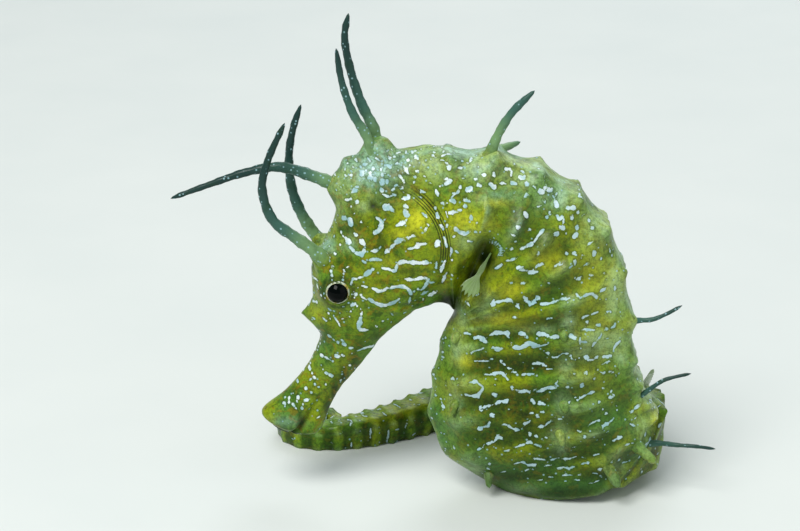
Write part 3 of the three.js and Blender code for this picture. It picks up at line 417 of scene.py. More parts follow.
# Patches of colour on the same plan, among them painted shade and painted sheen: middle, half width and
# half height in plan units, strength
YELLOW_PATCHES = [
    (417, 221, 14, 15, 1.0), (404, 234, 12, 6, 0.7), (466, 221, 26, 13, 0.85), (494, 203, 14, 4, 0.6),
    (608, 218, 9, 10, 0.7), (465, 361, 7, 7, 0.9), (657, 418, 5, 12, 0.9), (548, 262, 16, 12, 0.55),
    (512, 289, 20, 9, 0.5), (392, 262, 16, 5, 0.4), (500, 320, 30, 9, 0.35), (314, 312, 8, 10, 0.3),
    (474, 385, 22, 8, 0.35), (594, 290, 22, 44, 0.4), (600, 380, 18, 30, 0.2), (420, 205, 8, 5, 0.7),
    (470, 300, 10, 10, 0.3),
]
# Pale skin, and a painted sheen on the upper right flank
PALE_AND_SHEEN_PATCHES = [
    (372, 168, 34, 22, 1.0), (346, 174, 16, 26, 0.9), (405, 160, 30, 14, 0.95), (430, 166, 16, 14, 0.7),
    (568, 324, 7, 12, 0.6), (566, 372, 7, 14, 0.5), (563, 408, 7, 12, 0.6), (560, 440, 9, 12, 0.6),
    (457, 345, 6, 20, 0.5), (455, 405, 6, 18, 0.55), (484, 306, 10, 12, 0.55), (284, 422, 14, 5, 0.6),
    (362, 206, 8, 6, 0.6), (622, 352, 8, 14, 0.6), (350, 243, 10, 8, 0.4), (324, 242, 10, 9, 0.75),
    (470, 242, 14, 8, 0.45), (437, 168, 14, 12, 0.7), (478, 168, 26, 10, 0.85),
    (520, 176, 24, 10, 0.85), (600, 222, 18, 26, 0.7), (616, 290, 12, 34, 0.6), (604, 342, 24, 14, 0.8),
    (642, 425, 12, 12, 0.5), (560, 196, 22, 14, 0.8), (335, 205, 8, 18, 0.6), (590, 352, 24, 6, 0.35),
    (462, 318, 6, 12, 0.5), (500, 195, 30, 8, 0.35), (618, 470, 8, 8, 0.5), (470, 470, 10, 10, 0.5),
    (540, 330, 22, 4, 0.3),
]
# Painted shade: the hollow under the pectoral fin, the crevice under the throat, the cheek pore, the
# cleft of the mouth and the underside where it meets the floor
PAINTED_SHADE_PATCHES = [
    (486, 259, 11, 14, 1.15), (474, 277, 10, 14, 1.0), (448, 304, 13, 12, 1.2), (373, 206, 4.5, 5, 1.0),
    (301, 422, 4, 9, 0.8), (290, 433, 14, 3, 0.35), (455, 300, 8, 8, 0.8), (560, 492, 70, 8, 0.7),
    (500, 482, 60, 8, 0.4), (600, 478, 30, 8, 0.3),
]
# Brown skin, and painted shade darkening the lower trunk and the underside
BROWN_AND_SHADE_PATCHES = [
    (344, 376, 5, 12, 1.0), (354, 362, 6, 10, 0.9), (335, 392, 5, 12, 1.0), (328, 406, 5, 12, 1.0),
    (360, 344, 8, 9, 0.7), (512, 414, 26, 8, 1.4), (470, 400, 14, 6, 0.5), (540, 440, 26, 6, 0.6),
    (355, 228, 14, 12, 0.8), (388, 205, 14, 10, 0.55), (376, 236, 12, 8, 0.6), (342, 262, 10, 7, 0.6),
    (376, 336, 10, 6, 0.6), (382, 282, 16, 3, 0.6), (410, 270, 20, 4, 0.6), (440, 262, 6, 20, 0.5),
    (330, 330, 12, 12, 0.35), (520, 226, 18, 16, 0.8), (540, 244, 16, 8, 0.6), (512, 320, 46, 5, 1.1),
    (500, 300, 26, 5, 0.4), (522, 366, 36, 6, 1.2), (505, 402, 34, 6, 0.9), (480, 372, 18, 8, 0.5),
    (487, 420, 22, 9, 0.8), (566, 452, 40, 7, 0.8), (597, 437, 22, 8, 0.8), (520, 476, 60, 5, 0.8),
    (590, 470, 30, 5, 0.7), (500, 456, 40, 4, 0.6), (528, 388, 30, 4, 0.6), (548, 415, 22, 8, 0.6),
    (570, 385, 8, 14, 0.3), (600, 400, 20, 4, 0.3), (515, 340, 12, 4, 0.7), (494, 210, 10, 6, 0.4),
    (575, 325, 10, 7, 0.5), (620, 395, 8, 12, 0.4),
]
# Sea-green skin, and painted shade in teal on the underside, the belly edge and the snout tip
COOL_AND_SHADE_PATCHES = [
    (604, 330, 26, 60, 0.2), (434, 380, 13, 62, 0.8), (540, 486, 90, 14, 0.7), (440, 440, 14, 26, 0.7),
    (606, 420, 28, 40, 0.55), (330, 300, 30, 16, 0.4), (340, 306, 19, 13, 0.75),
    (322, 368, 20, 34, 0.45), (590, 270, 24, 36, 0.2), (436, 190, 10, 26, 0.4),
    (292, 408, 16, 18, 0.35), (642, 440, 18, 30, 0.5), (342, 190, 16, 24, 0.5), (510, 470, 60, 14, 0.5),
    (330, 240, 8, 16, 0.3),
]


def catmull(rows, s):
    """Catmull-Rom through rows at the fractional row numbers s."""
    last = len(rows) - 1
    i = np.clip(np.floor(s).astype(int), 0, last - 1)
    t = (s - i)[:, None]
    a, b, c, d = (rows[np.clip(i + k, 0, last)] for k in (-1, 0, 1, 2))
    return 0.5 * (2 * b + (c - a) * t + (2 * a - 5 * b + 4 * c - d) * t * t
                  + (3 * b - a - 3 * c + d) * t ** 3)


def smooth_line(points, steps_per_span=60):
    """Centripetal Catmull-Rom through points, as a dense polyline and its running length."""
    p = np.array(points, float)
    p = np.vstack([2 * p[0] - p[1], p, 2 * p[-1] - p[-2]])
    out = []
    for k in range(1, len(p) - 2):
        x0, x1, x2, x3 = p[k - 1], p[k], p[k + 1], p[k + 2]
        d0, d1, d2 = (math.sqrt(np.linalg.norm(v)) for v in (x1 - x0, x2 - x1, x3 - x2))
        t1 = ((x1 - x0) / d0 - (x2 - x0) / (d0 + d1) + (x2 - x1) / d1) * d1
        t2 = ((x2 - x1) / d1 - (x3 - x1) / (d1 + d2) + (x3 - x2) / d2) * d1
        last = k == len(p) - 3
        t = np.linspace(0, 1, steps_per_span + 1)[: None if last else -1, None]
        out.append(x1 + t1 * t + (-3 * x1 + 3 * x2 - 2 * t1 - t2) * t * t
                   + (2 * x1 - 2 * x2 + t1 + t2) * t ** 3)
    line = np.vstack(out)
    run = np.concatenate([[0], np.cumsum(np.linalg.norm(np.diff(line, axis=0), axis=1))])
    return line, run


def along_line(line, run, q):
    """Places at the shares q of a polyline's length."""
    return np.stack([np.interp(q * run[-1], run, line[:, k]) for k in range(line.shape[1])], 1)


def smoothstep(x, low, high):
    t = np.clip((x - low) / (high - low), 0, 1)
    return t * t * (3 - 2 * t)


def bump(x, reach):
    """A soft hump, 1 at x = 0 and nearly gone at twice the reach."""
    return np.exp(-((x / reach) ** 2))


def section_rows():
    """Sections of the whole animal: centre, half depth, half width, tilt, turn."""
    rows = []
    for bx, bz, kx, kz, half in LANDMARKS:
        dx, dz = kx - bx, kz - bz
        rows.append(((bx + kx) / 2, 0, (bz + kz) / 2, math.hypot(dx, dz) / 2, half,
                     math.atan2(dx, dz), 0))
    points = list(TAIL_PLAN)
    for i in range(COIL_POINTS):
        turn = i / (COIL_POINTS - 1) * COIL_TURNS
        radius, angle = COIL_RADIUS - COIL_PITCH * turn, COIL_START - turn * FULL_TURN
        points.append((COIL_CENTRE[0] + radius * math.cos(angle),
                       COIL_CENTRE[1] + radius * math.sin(angle)))
    line, run = smooth_line(points)
    ring = np.arange(TAIL_RINGS)
    q = 1 - (1 - ring / (TAIL_RINGS - 1)) ** RING_CROWDING
    spot = along_line(line, run, q)
    step = (along_line(line, run, np.clip(q + NUDGE, 0, 1))
            - along_line(line, run, np.clip(q - NUDGE, 0, 1)))
    turn = np.unwrap(np.arctan2(step[:, 1], step[:, 0]))
    slender = TAIL_TIP + (TAIL_ROOT - TAIL_TIP) * (1 - q) ** TAIL_TAPER
    root = bump(ring, 2.2)
    depth = slender + (TAIL_ROOT_DEPTH - TAIL_ROOT) * root
    width = slender * (0.98 + 0.06 * root)
    tilt = TAIL_LEAN * bump(ring, 3.2)
    z = (FLOOR + np.maximum(depth * np.cos(tilt), slender * 0.9) - 0.22
         + 2.0 * bump(ring - 2.6, 2.4))
    for k in range(TAIL_RINGS):
        rows.append((spot[k, 0], spot[k, 1], z[k], depth[k], width[k], tilt[k], turn[k]))
    return np.array(rows)


ROWS = section_rows()


def section(s):
    """At the fractional rows s: the centre, the ways to the back and the left flank, half depth and
    half width."""
    x, y, z, depth, width, tilt, turn = catmull(ROWS, s).T
    back = np.stack([np.sin(tilt) * np.cos(turn), np.sin(tilt) * np.sin(turn), np.cos(tilt)], 1)
    flank = np.stack([np.sin(turn), -np.cos(turn), 0 * turn], 1)
    return np.stack([x, y, z], 1), back, flank, depth[:, None], width[:, None]


def unit(v):
    """Each row of v, made one long."""
    return v / np.maximum(np.linalg.norm(v, axis=1, keepdims=True), 1e-9)


def trunk_surface(s, angle):
    """Head and trunk: the section's profile with raised rings, ridges and knobs."""
    centre, back, flank, depth, width = section(s)
    c = angle / FULL_TURN * 2 * KEEL_COLUMN
    column = np.where(c > KEEL_COLUMN, 2 * KEEL_COLUMN - c, c)
    side = np.where(c > KEEL_COLUMN, -1.0, 1.0)
    profile = catmull(np.array(SECTION_WIDTHS, float)[:, None], column)[:, 0]
    profile = np.where(column < 0.5, np.minimum(profile, column), np.maximum(profile, 0))
    ringed = smoothstep(s, FIRST_RING - 1, FIRST_RING + 0.5)
    across = side * (ringed * profile + (1 - ringed) * np.abs(np.sin(angle)) ** 0.85)
    d = np.cos(angle)
    phase = np.abs(s - np.round(s))
    relief = -0.3 * smoothstep(phase, 0.05, 0.5) + 0.16 * bump(phase, 0.09)
    for k, ridge, knob in RIDGES:
        near = np.abs(column - k)
        relief = relief + ridge * bump(near, 0.5) + knob * bump(near, 0.34) * bump(phase, 0.15)
    crowd = np.clip(depth[:, 0] / 8, 0, 1)
    point = centre + back * depth * d[:, None] + flank * width * across[:, None]
    away = np.linalg.norm((point - np.array(THROAT))[:, [0, 2]], axis=1)
    crowd = crowd * (1 - 0.6 * smoothstep(s, 21.5, 24.5))
    relief = relief * ringed * crowd * smoothstep(away, 1.0, 7.0)
    out = unit(back * d[:, None] + flank * across[:, None])
    return point + out * relief[:, None]


def tail_surface(s, angle):
    """Tail: a rounded square with raised rings and a knob on each corner."""
    centre, back, flank, depth, width = section(s)
    c, w = np.cos(angle), np.sin(angle)
    corner = np.minimum(np.abs(c), np.abs(w)) / math.sqrt(0.5)
    square = 0.94 * (1 + 0.2 * corner)
    phase = np.abs(s - np.round(s))
    size = np.clip(width[:, 0] / TAIL_ROOT + 0.15, 0, 1)
    edge = smoothstep(corner, 0.75, 1.0)
    relief = size * (edge * (0.16 + 0.36 * bump(phase, 0.2)) + 0.1 * bump(phase, 0.14)
                     - 0.1 * smoothstep(phase, 0.1, 0.5))
    out = unit(back * c[:, None] + flank * w[:, None])
    return (centre + back * depth * (square * c)[:, None] + flank * width * (square * w)[:, None]
            + out * relief[:, None])


def body_surface(s, angle):
    """The whole body before its head is shaped: trunk, then tail."""
    tail = smoothstep(s, TRUNK_END, TAIL_BEGIN)[:, None]
    return trunk_surface(s, angle) * (1 - tail) + tail_surface(s, angle) * tail


def on_left(p):
    """Points of the right flank folded onto the left one."""
    return np.stack([p[:, 0], -np.abs(p[:, 1]), p[:, 2]], 1)


def plan(p):
    """Side-plan coordinates of points, both flanks folded onto the left one."""
    ahead = unit((PLAN_TARGET - PLAN_EYE)[None])[0]
    right = np.array([1.0, 0, 0])
    up = np.cross(right, ahead)
    v = on_left(p) - PLAN_EYE
    far = v @ ahead
    return np.stack([PLAN_CENTRE[0] + PLAN_SCALE * (v @ right) / far,
                     PLAN_CENTRE[1] - PLAN_SCALE * (v @ up) / far], 1)


def row_places(low, high, spacing):
    """Row numbers between low and high, about `spacing` mm apart along the flank."""
    s = np.linspace(low, high, 800)
    track = (body_surface(s, np.full_like(s, 0.9)) + body_surface(s, np.full_like(s, 0.05))) / 2
    run = np.concatenate([[0], np.cumsum(np.linalg.norm(np.diff(track, axis=0), axis=1))])
    count = max(2, int(round(run[-1] / spacing)))
    return np.interp(np.linspace(0, run[-1], count + 1)[:-1], run, s)


class Skin:
    """The vertices and faces of the one skin, built ring by ring."""

    LAYERS = ("ringwise", "turn_cos", "turn_sin", "fixed", "filament", "along")

    def __init__(self):
        self.points, self.faces, self.count = [], [], 0
        self.layers = {name: [] for name in self.LAYERS}

    def add(self, points, s, angle, fixed=0.0, filament=0.0, along=0.0):
        """Adds points; the ones that aren't fixed lie on the body at row s and angle."""
        n = len(points)
        self.points.append(points)
        values = (s, np.cos(angle), np.sin(angle), fixed, filament, along)
        for name, value in zip(self.LAYERS, values):
            self.layers[name].append(np.broadcast_to(np.asarray(value, float), (n,)))
        self.count += n
        return self.count - n

    def strip(self, a, n, b, m):
        """Joins a ring of n points starting at a with a ring of m points starting at b."""
        if n == m:
            for j in range(n):
                k = (j + 1) % n
                self.faces.append((a + j, a + k, b + k, b + j))
        elif n == 2 * m:
            for j in range(m):
                k, f, g, h = (j + 1) % m, a + 2 * j, a + 2 * j + 1, a + (2 * j + 2) % n
                self.faces += [(f, g, b + j), (g, b + k, b + j), (g, h, b + k)]

    def cap(self, a, n, pole, flip):
        for j in range(n):
            k = (j + 1) % n
            self.faces.append((a + k, a + j, pole) if flip else (a + j, a + k, pole))

    def mesh(self, name):
        mesh = bpy.data.meshes.new(name)
        mesh.from_pydata(np.vstack(self.points).tolist(), [], self.faces)
        for layer, parts in self.layers.items():
            put(mesh, layer, np.concatenate(parts))
        return mesh


def put(mesh, name, values):
    """Writes a number or a vector for each vertex as an attribute."""
    values = np.asarray(values, np.float32)
    vector = values.ndim == 2
    layer = mesh.attributes.new(name, "FLOAT_VECTOR" if vector else "FLOAT", "POINT")
    layer.data.foreach_set("vector" if vector else "value", values.ravel())


def take(mesh, name):
    values = np.empty(len(mesh.vertices), np.float32)
    mesh.attributes[name].data.foreach_get("value", values)
    return values.astype(float)


def places_of(mesh):
    flat = np.empty(len(mesh.vertices) * 3, np.float32)
    mesh.vertices.foreach_get("co", flat)
    return flat.reshape(-1, 3).astype(float)


HEAD_COLUMNS = 128
# Stretches of the body: first and last row, distance between rings in mm, points in a ring
STRETCHES = [
    (0.0, 14.0, 0.33, HEAD_COLUMNS), (14.0, 25.0, 0.40, HEAD_COLUMNS),
    (25.0, 31.0, 0.38, HEAD_COLUMNS // 2), (31.0, float(TIP), 0.34, HEAD_COLUMNS // 4),
]


# The inside of the mouth: rings inward from the lips, as shares of the lip ring, and how deep each is
MOUTH_RINGS = [(0.62, 0.9), (0.5, 0.4), (0.62, 0.05), (0.86, -0.18), (0.97, -0.12)]
MOUTH_DEPTH = 1.1
TAIL_POINT = 0.35  # how far the tip stands past the last ring


def body_rows(skin):
    """Lays the whole body, from inside the mouth to the tip of the tail, as one closed skin."""
    rings = [(s, columns) for low, high, spacing, columns in STRETCHES
             for s in row_places(low, high, spacing)]
    rings.append((float(TIP), STRETCHES[-1][3]))
    columns = HEAD_COLUMNS
    angle = np.arange(columns) / columns * FULL_TURN
    lip_ring = body_surface(np.zeros(columns), angle)
    centre = lip_ring.mean(0)
    inward = unit((body_surface(np.ones(2), np.array([0.0, math.pi])).mean(0) - centre)[None])[0]
    previous = None
    for scale, depth in MOUTH_RINGS:
        points = centre + (lip_ring - centre) * scale + inward * depth
        start = skin.add(points, 0, angle, fixed=1)
        if previous is None:
            pole = skin.add((centre + inward * MOUTH_DEPTH)[None], 0, 0, fixed=1)
            skin.cap(start, columns, pole, True)
        else:
            skin.strip(previous, columns, start, columns)
        previous = start
    for s, n in rings:
        angle = np.arange(n) / n * FULL_TURN
        start = skin.add(body_surface(np.full(n, s), angle), s, angle)
        skin.strip(previous, columns, start, n)
        previous, columns = start, n
    last = section(np.array([float(TIP)]))[0][0]
    heading = unit((last - section(np.array([TIP - 0.5]))[0][0])[None])[0]
    pole = skin.add((last + heading * TAIL_POINT)[None], TIP, 0, fixed=1)
    skin.cap(previous, columns, pole, False)


def distance(x, z, place):
    """How far points are from a place in the side view."""
    return np.hypot(x - place[0], z - place[1])


def gill_cover(x, y, z, flat):
    """A smooth dome, and a raised rear edge that steps down to the shoulder."""
    gx, gz = x - GILL_DOME[0], z - GILL_DOME[1]
    cos, sin = math.cos(GILL_DOME_TURN), math.sin(GILL_DOME_TURN)
    u = (gx * cos - gz * sin) / GILL_DOME_HALVES[0]
    v = (gx * sin + gz * cos) / GILL_DOME_HALVES[1]
    dome = np.clip(1 - u * u - v * v, 0, 1)
    y = y + flat * GILL_DOME_HEIGHT * dome ** 0.8
    r = distance(x, z, GILL_CENTRE)
    rear = (smoothstep((x - GILL_CENTRE[0]) / np.maximum(r, 1e-6), 0.2, 0.62)
            * smoothstep(z, 26.8, 29.0))
    lip = smoothstep(r, 5.2, 7.7) * (1 - smoothstep(r, 7.85, 8.45))
    groove = bump(r - GILL_GROOVE_RADIUS, 0.4)
    return y + flat * rear * (GILL_EDGE_HEIGHT * lip - GILL_GROOVE_DEPTH * groove)


def pad_and_brow(x, y, z, flat):
    """The shoulder pad behind the gill cover, and the ridge of the brow."""
    y = y + flat * SHOULDER_HEIGHT * bump(distance(x, z, SHOULDER_PAD), SHOULDER_REACH)
    ridge = np.hypot((x - BROW_RIDGE[0]) / BROW_STRETCH, z - BROW_RIDGE[1])
    return y + flat * BROW_HEIGHT * bump(ridge, BROW_REACH)


def eye_socket(x, y, z, front):
    """Raised lids round the eye, and a socket that runs behind it."""
    r = distance(x, z, (EYE_CENTRE[0], EYE_CENTRE[2]))
    orbit = (1 - smoothstep(r, LID_INNER, LID_OUTER)) * front * (x < -3)
    y = y * (1 - orbit) + (LID_HEIGHT + 0.16 * bump(r - 1.62, 0.2)) * orbit
    ball = EYE_CENTRE[1] + np.sqrt(np.clip(EYE_RADIUS ** 2 - r ** 2, 0, None)) - 0.3
    inside = (1 - smoothstep(r, 1.38, 1.5)) * orbit
    return y * (1 - inside) + np.minimum(ball, 4.1) * inside


def raise_spines(p, side, front):
    """The blunt spines of the head, each a cone with a soft foot."""
    folded = on_left(p)
    for at, to, root, length in SPINES:
        d = np.linalg.norm(folded - np.array(at), axis=1) / root
        lift = np.clip(1 - d, 0, 1) ** 1.7 * length * front
        direction = np.array(to, float) / np.linalg.norm(to)
        p[:, 0] += direction[0] * lift
        p[:, 1] += -side * direction[1] * lift
        p[:, 2] += direction[2] * lift


def raise_coronet(p, x, front):
    """A low crown with five points, slightly sunk in the middle."""
    cx, cy = x - CORONET_X, p[:, 1]
    r = np.hypot(cx, cy)
    points = 1 + 0.16 * np.cos(CORONET_POINTS * np.arctan2(cy, cx))
    crown = (1 - smoothstep(r / points, 0.9, 2.5)) * (p[:, 2] > CORONET_FOOT)
    p[:, 2] += crown * (CORONET_HEIGHT - 0.35 * bump(r, 0.7)) * front


def sink_fin_hollow(p, front):
    """The hollow under the pectoral fin, behind the gill cover."""
    a, b = np.array(FIN_HOLLOW_TOP), np.array(FIN_HOLLOW_FOOT)
    q = p[:, [0, 2]]
    t = np.clip(((q - a) @ (b - a)) / ((b - a) @ (b - a)), 0, 1)
    d = np.linalg.norm(q - (a + t[:, None] * (b - a)), axis=1)
    hollow = bump(d, 1.35 - 0.3 * t) * smoothstep(np.abs(p[:, 1]), 2.0, 3.6) * front
    p[:, 1] -= np.sign(p[:, 1]) * hollow * FIN_HOLLOW_DEPTH


def sink_pore(p):
    """The pore high on the cheek."""
    hollow = (bump(distance(p[:, 0], p[:, 2], CHEEK_PORE), PORE_RADIUS)
              * smoothstep(np.abs(p[:, 1]), 2, 3))
    p[:, 1] -= np.sign(p[:, 1]) * hollow * PORE_DEPTH


def raise_head(p, s):
    """Gill covers, shoulders, brows, eyelids, spines and coronet, then the hollows and the pores."""
    side = np.where(p[:, 1] < 0, -1.0, 1.0)
    x, y, z = p[:, 0], np.abs(p[:, 1]), p[:, 2]
    front = s < 24
    flat = smoothstep(y, 1.2, 2.6) * front
    y = gill_cover(x, y, z, flat)
    y = pad_and_brow(x, y, z, flat)
    y = eye_socket(x, y, z, front)
    p = np.stack([x, y * side, z], 1)
    raise_spines(p, side, front)
    raise_coronet(p, x, front)
    sink_fin_hollow(p, front)
    sink_pore(p)
    return p


def shape_mouth(p, s, angle):
    """Swollen lips and the cleft between the upper and the lower jaw."""
    tip = 1 - smoothstep(s, 0.9, 3.2)
    depth = np.cos(angle)
    upper = smoothstep(depth, -0.2, 0.5)
    cleft = bump(depth + 0.35, 0.16) * tip
    centre = section(s)[0]
    out = p - centre
    p = p - out * (0.42 * cleft)[:, None]
    p = p + out * (0.10 * tip * upper * bump(s - 1.0, 0.9))[:, None]
    p[:, 2] += 0.7 * (1 - smoothstep(s, 0.0, 1.2))
    return p


def sweep_tube(skin, points, root, tip, filament, blunt, sides=14):
    """A fleshy thread that starts thin under the skin, is widest as it leaves it, then tapers to a
    tip rounded over `blunt` times its radius."""
    first, second = np.array(points[0], float), np.array(points[1], float)
    under = first - unit((second - first)[None])[0] * ROOT_DEPTH
    line, run = smooth_line([tuple(under)] + list(points))
    length = run[-1]
    lead = (DARK_ROOT if root < SMALL_ROOT else 0.0) - ROOT_DEPTH
    steps = max(10, int(length / 0.4))
    q = np.linspace(0, 1, steps + 1)
    spot = along_line(line, run, q)
    heading = unit(np.gradient(spot, axis=0))
    across = np.cross(heading, [0.0, 1.0, 0.0])
    across = unit(np.where(np.linalg.norm(across, axis=1, keepdims=True) < 0.2,
                           np.cross(heading, [0.0, 0.0, 1.0]), across))
    over = np.cross(heading, across)
    angle = np.arange(sides) / sides * FULL_TURN
    reach = q * length
    size = tip + (root - tip) * (1 - q) ** 1.2 + root * 0.3 * bump(reach - ROOT_DEPTH, 1.2)
    size = size * (0.3 + 0.7 * smoothstep(reach, 0.0, ROOT_DEPTH))
    size = size * (1 + 0.06 * np.sin(reach * 2.3 + root * 9) + 0.05 * np.sin(reach * 5.1))
    size = size * np.sqrt(np.clip((1.0 - q) * length / (tip * blunt), 0, 1))
    previous = None
    for k in range(steps):
        ring = (spot[k] + np.outer(np.cos(angle), across[k]) * size[k]
                + np.outer(np.sin(angle), over[k]) * size[k])
        start = skin.add(ring, -1, angle, 1, filament, lead + reach[k])
        if previous is None:
            pole = skin.add(spot[:1], -1, 0, 1, filament, lead)
            skin.cap(start, sides, pole, True)
        else:
            skin.strip(previous, sides, start, sides)
        previous = start
    pole = skin.add(spot[-1:], -1, 0, 1, filament, lead + reach[-1])
    skin.cap(previous, sides, pole, False)


def sprout_papillae(skin, bvh):
    """Short soft flaps on both flanks, which lean down and back."""
    for u, v, length in PAPILLAE:
        at, out = plan_hit(bvh, u, v)
        out = np.array([out.x, -abs(out.y), out.z])
        at = np.array([at.x, -abs(at.y), at.z])
        for side in (1, -1):
            turn = np.array([1, side, 1])
            steps = [at + out * (0.62 * length * q) + np.array([0.25, 0, -0.75]) * length * q * q
                     for q in (0.0, 0.35, 0.7, 1.0)]
            sweep_tube(skin, [tuple(step * turn) for step in steps],
                       PAPILLA_ROOT, PAPILLA_TIP, 0.0, 1.2, sides=12)


def flare_roots(p):
    """Draws the skin up into a soft cone round the root of each filament and finger."""
    for points, root, _ in FILAMENTS + FINGERS:
        line, run = smooth_line(points)
        at, ahead = along_line(line, run, np.array([min(1, 1.3 / run[-1]), min(1, 2.4 / run[-1])]))
        to = unit((ahead - at)[None])[0]
        d = np.linalg.norm(p - at, axis=1)
        lift = np.clip(1 - d / (root * FLARE_REACH), 0, 1) ** 1.6 * FLARE_HEIGHT * root
        p = p + to * lift[:, None]
    return p


def shape_body(p, s, angle):
    """The body's own skin, from its plain rings to its finished shape."""
    p = shape_mouth(p, s, angle)
    p = raise_head(p, s)
    p = flare_roots(p)
    ripple = (np.sin(p[:, 0] * 2.9 + 1.3 * np.sin(p[:, 2] * 2.1))
              * np.sin(p[:, 2] * 3.3 + p[:, 1] * 2.7))
    p = p + unit(p - section(s)[0]) * (ripple * 0.035 * (s > 2.5))[:, None]
    p[:, 2] = np.maximum(p[:, 2], FLOOR)
    return p


class Marks:
    """White marks as lines of points on the skin, each point with a half width in millimetres."""

    def __init__(self):
        self.points, self.widths, self.line = [], [], []
        self.lines = 0

    def add(self, points, widths):
        self.points += points
        self.widths += widths
        self.line += [self.lines] * len(points)
        self.lines += 1

    def nearest(self, query, reach):
        """For each query point: the nearest place on a mark's middle line, its half width, the gap
        to its edge and the number of its line."""
        points, widths, line = np.array(self.points), np.array(self.widths), np.array(self.line)
        tree = kdtree.KDTree(len(points))
        for i, p in enumerate(points):
            tree.insert(Vector(p), i)
        tree.balance()
        place, width, gap = query + reach, np.zeros(len(query)), np.full(len(query), reach)
        owner = np.full(len(query), -1)
        for i, q in enumerate(query):
            found = tree.find(Vector(q))
            if found[2] > reach + 0.4:
                continue
            j = found[1]
            for k in (j - 1, j):
                if k < 0 or k + 1 >= len(points) or line[k] != line[k + 1]:
                    continue
                step = points[k + 1] - points[k]
                t = min(1.0, max(0.0, float((q - points[k]) @ step) / max(float(step @ step), 1e-12)))
                at = points[k] + step * t
                wide = widths[k] + (widths[k + 1] - widths[k]) * t
                d = float(np.linalg.norm(q - at)) - wide
                if d < gap[i]:
                    place[i], width[i], gap[i], owner[i] = at, wide, d, line[k]
        return place, width, gap, owner


def uneven(run, length, half):
    """Half widths along a painted line: swollen and thin by turns, and narrower at its ends."""
    start, second = rng.uniform(0, FULL_TURN, 2)
    swell = (1 + 0.3 * np.sin(run * 0.55 + start) + 0.2 * np.sin(run * 1.35 + second)
             + 0.1 * np.sin(run * 2.9 + start))
    ends = np.clip(np.minimum(run, length - run) / (1.6 * half), 0, 1) if length > 3 * half else 1.0
    return half * swell * (0.55 + 0.45 * ends) * 0.9


def plan_hit(bvh, u, v):
    """Where a place on the side plan falls on the skin, and the way the skin faces there."""
    ahead = unit((PLAN_TARGET - PLAN_EYE)[None])[0]
    right = np.array([1.0, 0, 0])
    up = np.cross(right, ahead)
    ray = (ahead + right * (u - PLAN_CENTRE[0]) / PLAN_SCALE
           - up * (v - PLAN_CENTRE[1]) / PLAN_SCALE)
    return bvh.ray_cast(Vector(PLAN_EYE), Vector(ray).normalized())[:2]


def plan_marks(bvh):
    """Lays the marks of the side plan onto the skin of the left flank."""
    marks = Marks()
    for number, (half, *line) in enumerate(HEAD_MARKS + TRUNK_MARKS):
        if len(line) == 1:
            line.append((line[0][0], line[0][1] + DOT_LENGTH))
        line = np.array(line, float)
        run = np.concatenate([[0], np.cumsum(np.linalg.norm(np.diff(line, axis=0), axis=1))])
        if number < len(HEAD_MARKS) and run[-1] > STROKE_LENGTH:
            half = half * HEAD_STROKE
        steps = np.linspace(0, run[-1], max(2, int(run[-1] / MARK_STEP)))
        widths = uneven(steps, run[-1], half) / PLAN_UNITS_PER_MM
        spots, kept = [], []
        for q, width in zip(steps, widths):
            u, v = np.interp(q, run, line[:, 0]), np.interp(q, run, line[:, 1])
            at, _ = plan_hit(bvh, u, v)
            if at is not None:
                spots.append(np.array([at.x, -abs(at.y), at.z]))
                kept.append(width)
        if len(spots) > 1:
            marks.add(spots, kept)
    return marks


# Dots that the side plan doesn't reach, along the back and the keel: middle and reach of the band as
# angles from the back, and how many there are at each half ring
HIDDEN_DOTS = [(0.0, 0.34, 3), (math.pi, 0.45, 5)]
HIDDEN_DOT_HALVES = (0.07, 0.15)


def hidden_dots(marks, bvh):
    """Dots along the back and the keel, which the side plan doesn't reach."""
    for ring in np.arange(3.0, 25.0, 0.5):
        for middle, reach, count in HIDDEN_DOTS:
            if ring < KEEL_START and middle > 0:
                continue
            for angle in middle + rng.uniform(-reach, reach, count):
                row = ring + rng.uniform(-0.2, 0.2)
                ends = np.array([angle, angle + rng.uniform(0, 0.06)])
                spot = body_surface(np.array([row, row]), ends)
                on_skin = [np.array(bvh.find_nearest(Vector(v))[0]) for v in spot]
                half = rng.uniform(*HIDDEN_DOT_HALVES)
                marks.add([on_left(v[None])[0] for v in on_skin], [half, half])


def tail_marks():
    """Broken lines and dots across each tail ring."""
    marks = Marks()
    for ring in np.arange(25.3, TIP - 1, 0.5):
        on_ring = ring % 1 < 0.45
        girth = max(float(section(np.array([ring]))[4][0, 0]), 0.5)
        angle = rng.uniform(0, 0.6)
        while angle < FULL_TURN:
            length = rng.uniform(0.6, 2.4) if on_ring and rng.random() < 0.6 else 0.12
            steps = np.linspace(0, 1, max(2, int(length / 0.15)))
            lean = rng.uniform(-0.12, 0.12)
            half = rng.uniform(0.1, 0.16) * (0.6 + 0.4 * min(1, girth / 3))
            rows = ring + lean * np.sin(4 * steps + angle) + 0.05 * steps
            spots = body_surface(rows, angle + length / girth * steps)
            widths = uneven(steps * length * PLAN_UNITS_PER_MM, length * PLAN_UNITS_PER_MM,
                            half * PLAN_UNITS_PER_MM) / PLAN_UNITS_PER_MM
            marks.add(list(spots), list(widths))
            angle += (length + rng.uniform(1.2, 3.2)) / girth
    return marks


def patches(uv, table):
    """How strongly each point of the side plan lies in a patch of the table."""
    total = np.zeros(len(uv))
    for u, v, a, b, strength in table:
        d = ((uv[:, 0] - u) / a) ** 2 + ((uv[:, 1] - v) / b) ** 2
        total = np.maximum(total, strength * np.exp(-d * 0.9))
    return np.minimum(total, 1)


def refine(mesh, chosen):
    """Cuts each face beside a chosen edge into four, and eases the faces round it."""
    work = bmesh.new()
    work.from_mesh(mesh)
    near = {face for edge, pick in zip(work.edges, chosen) if pick for face in edge.link_faces}
    edges = list({edge for face in near for edge in face.edges})
    bmesh.ops.subdivide_edges(work, edges=edges, cuts=1, use_grid_fill=True, use_single_edge=True)
    work.to_mesh(mesh)
    work.free()


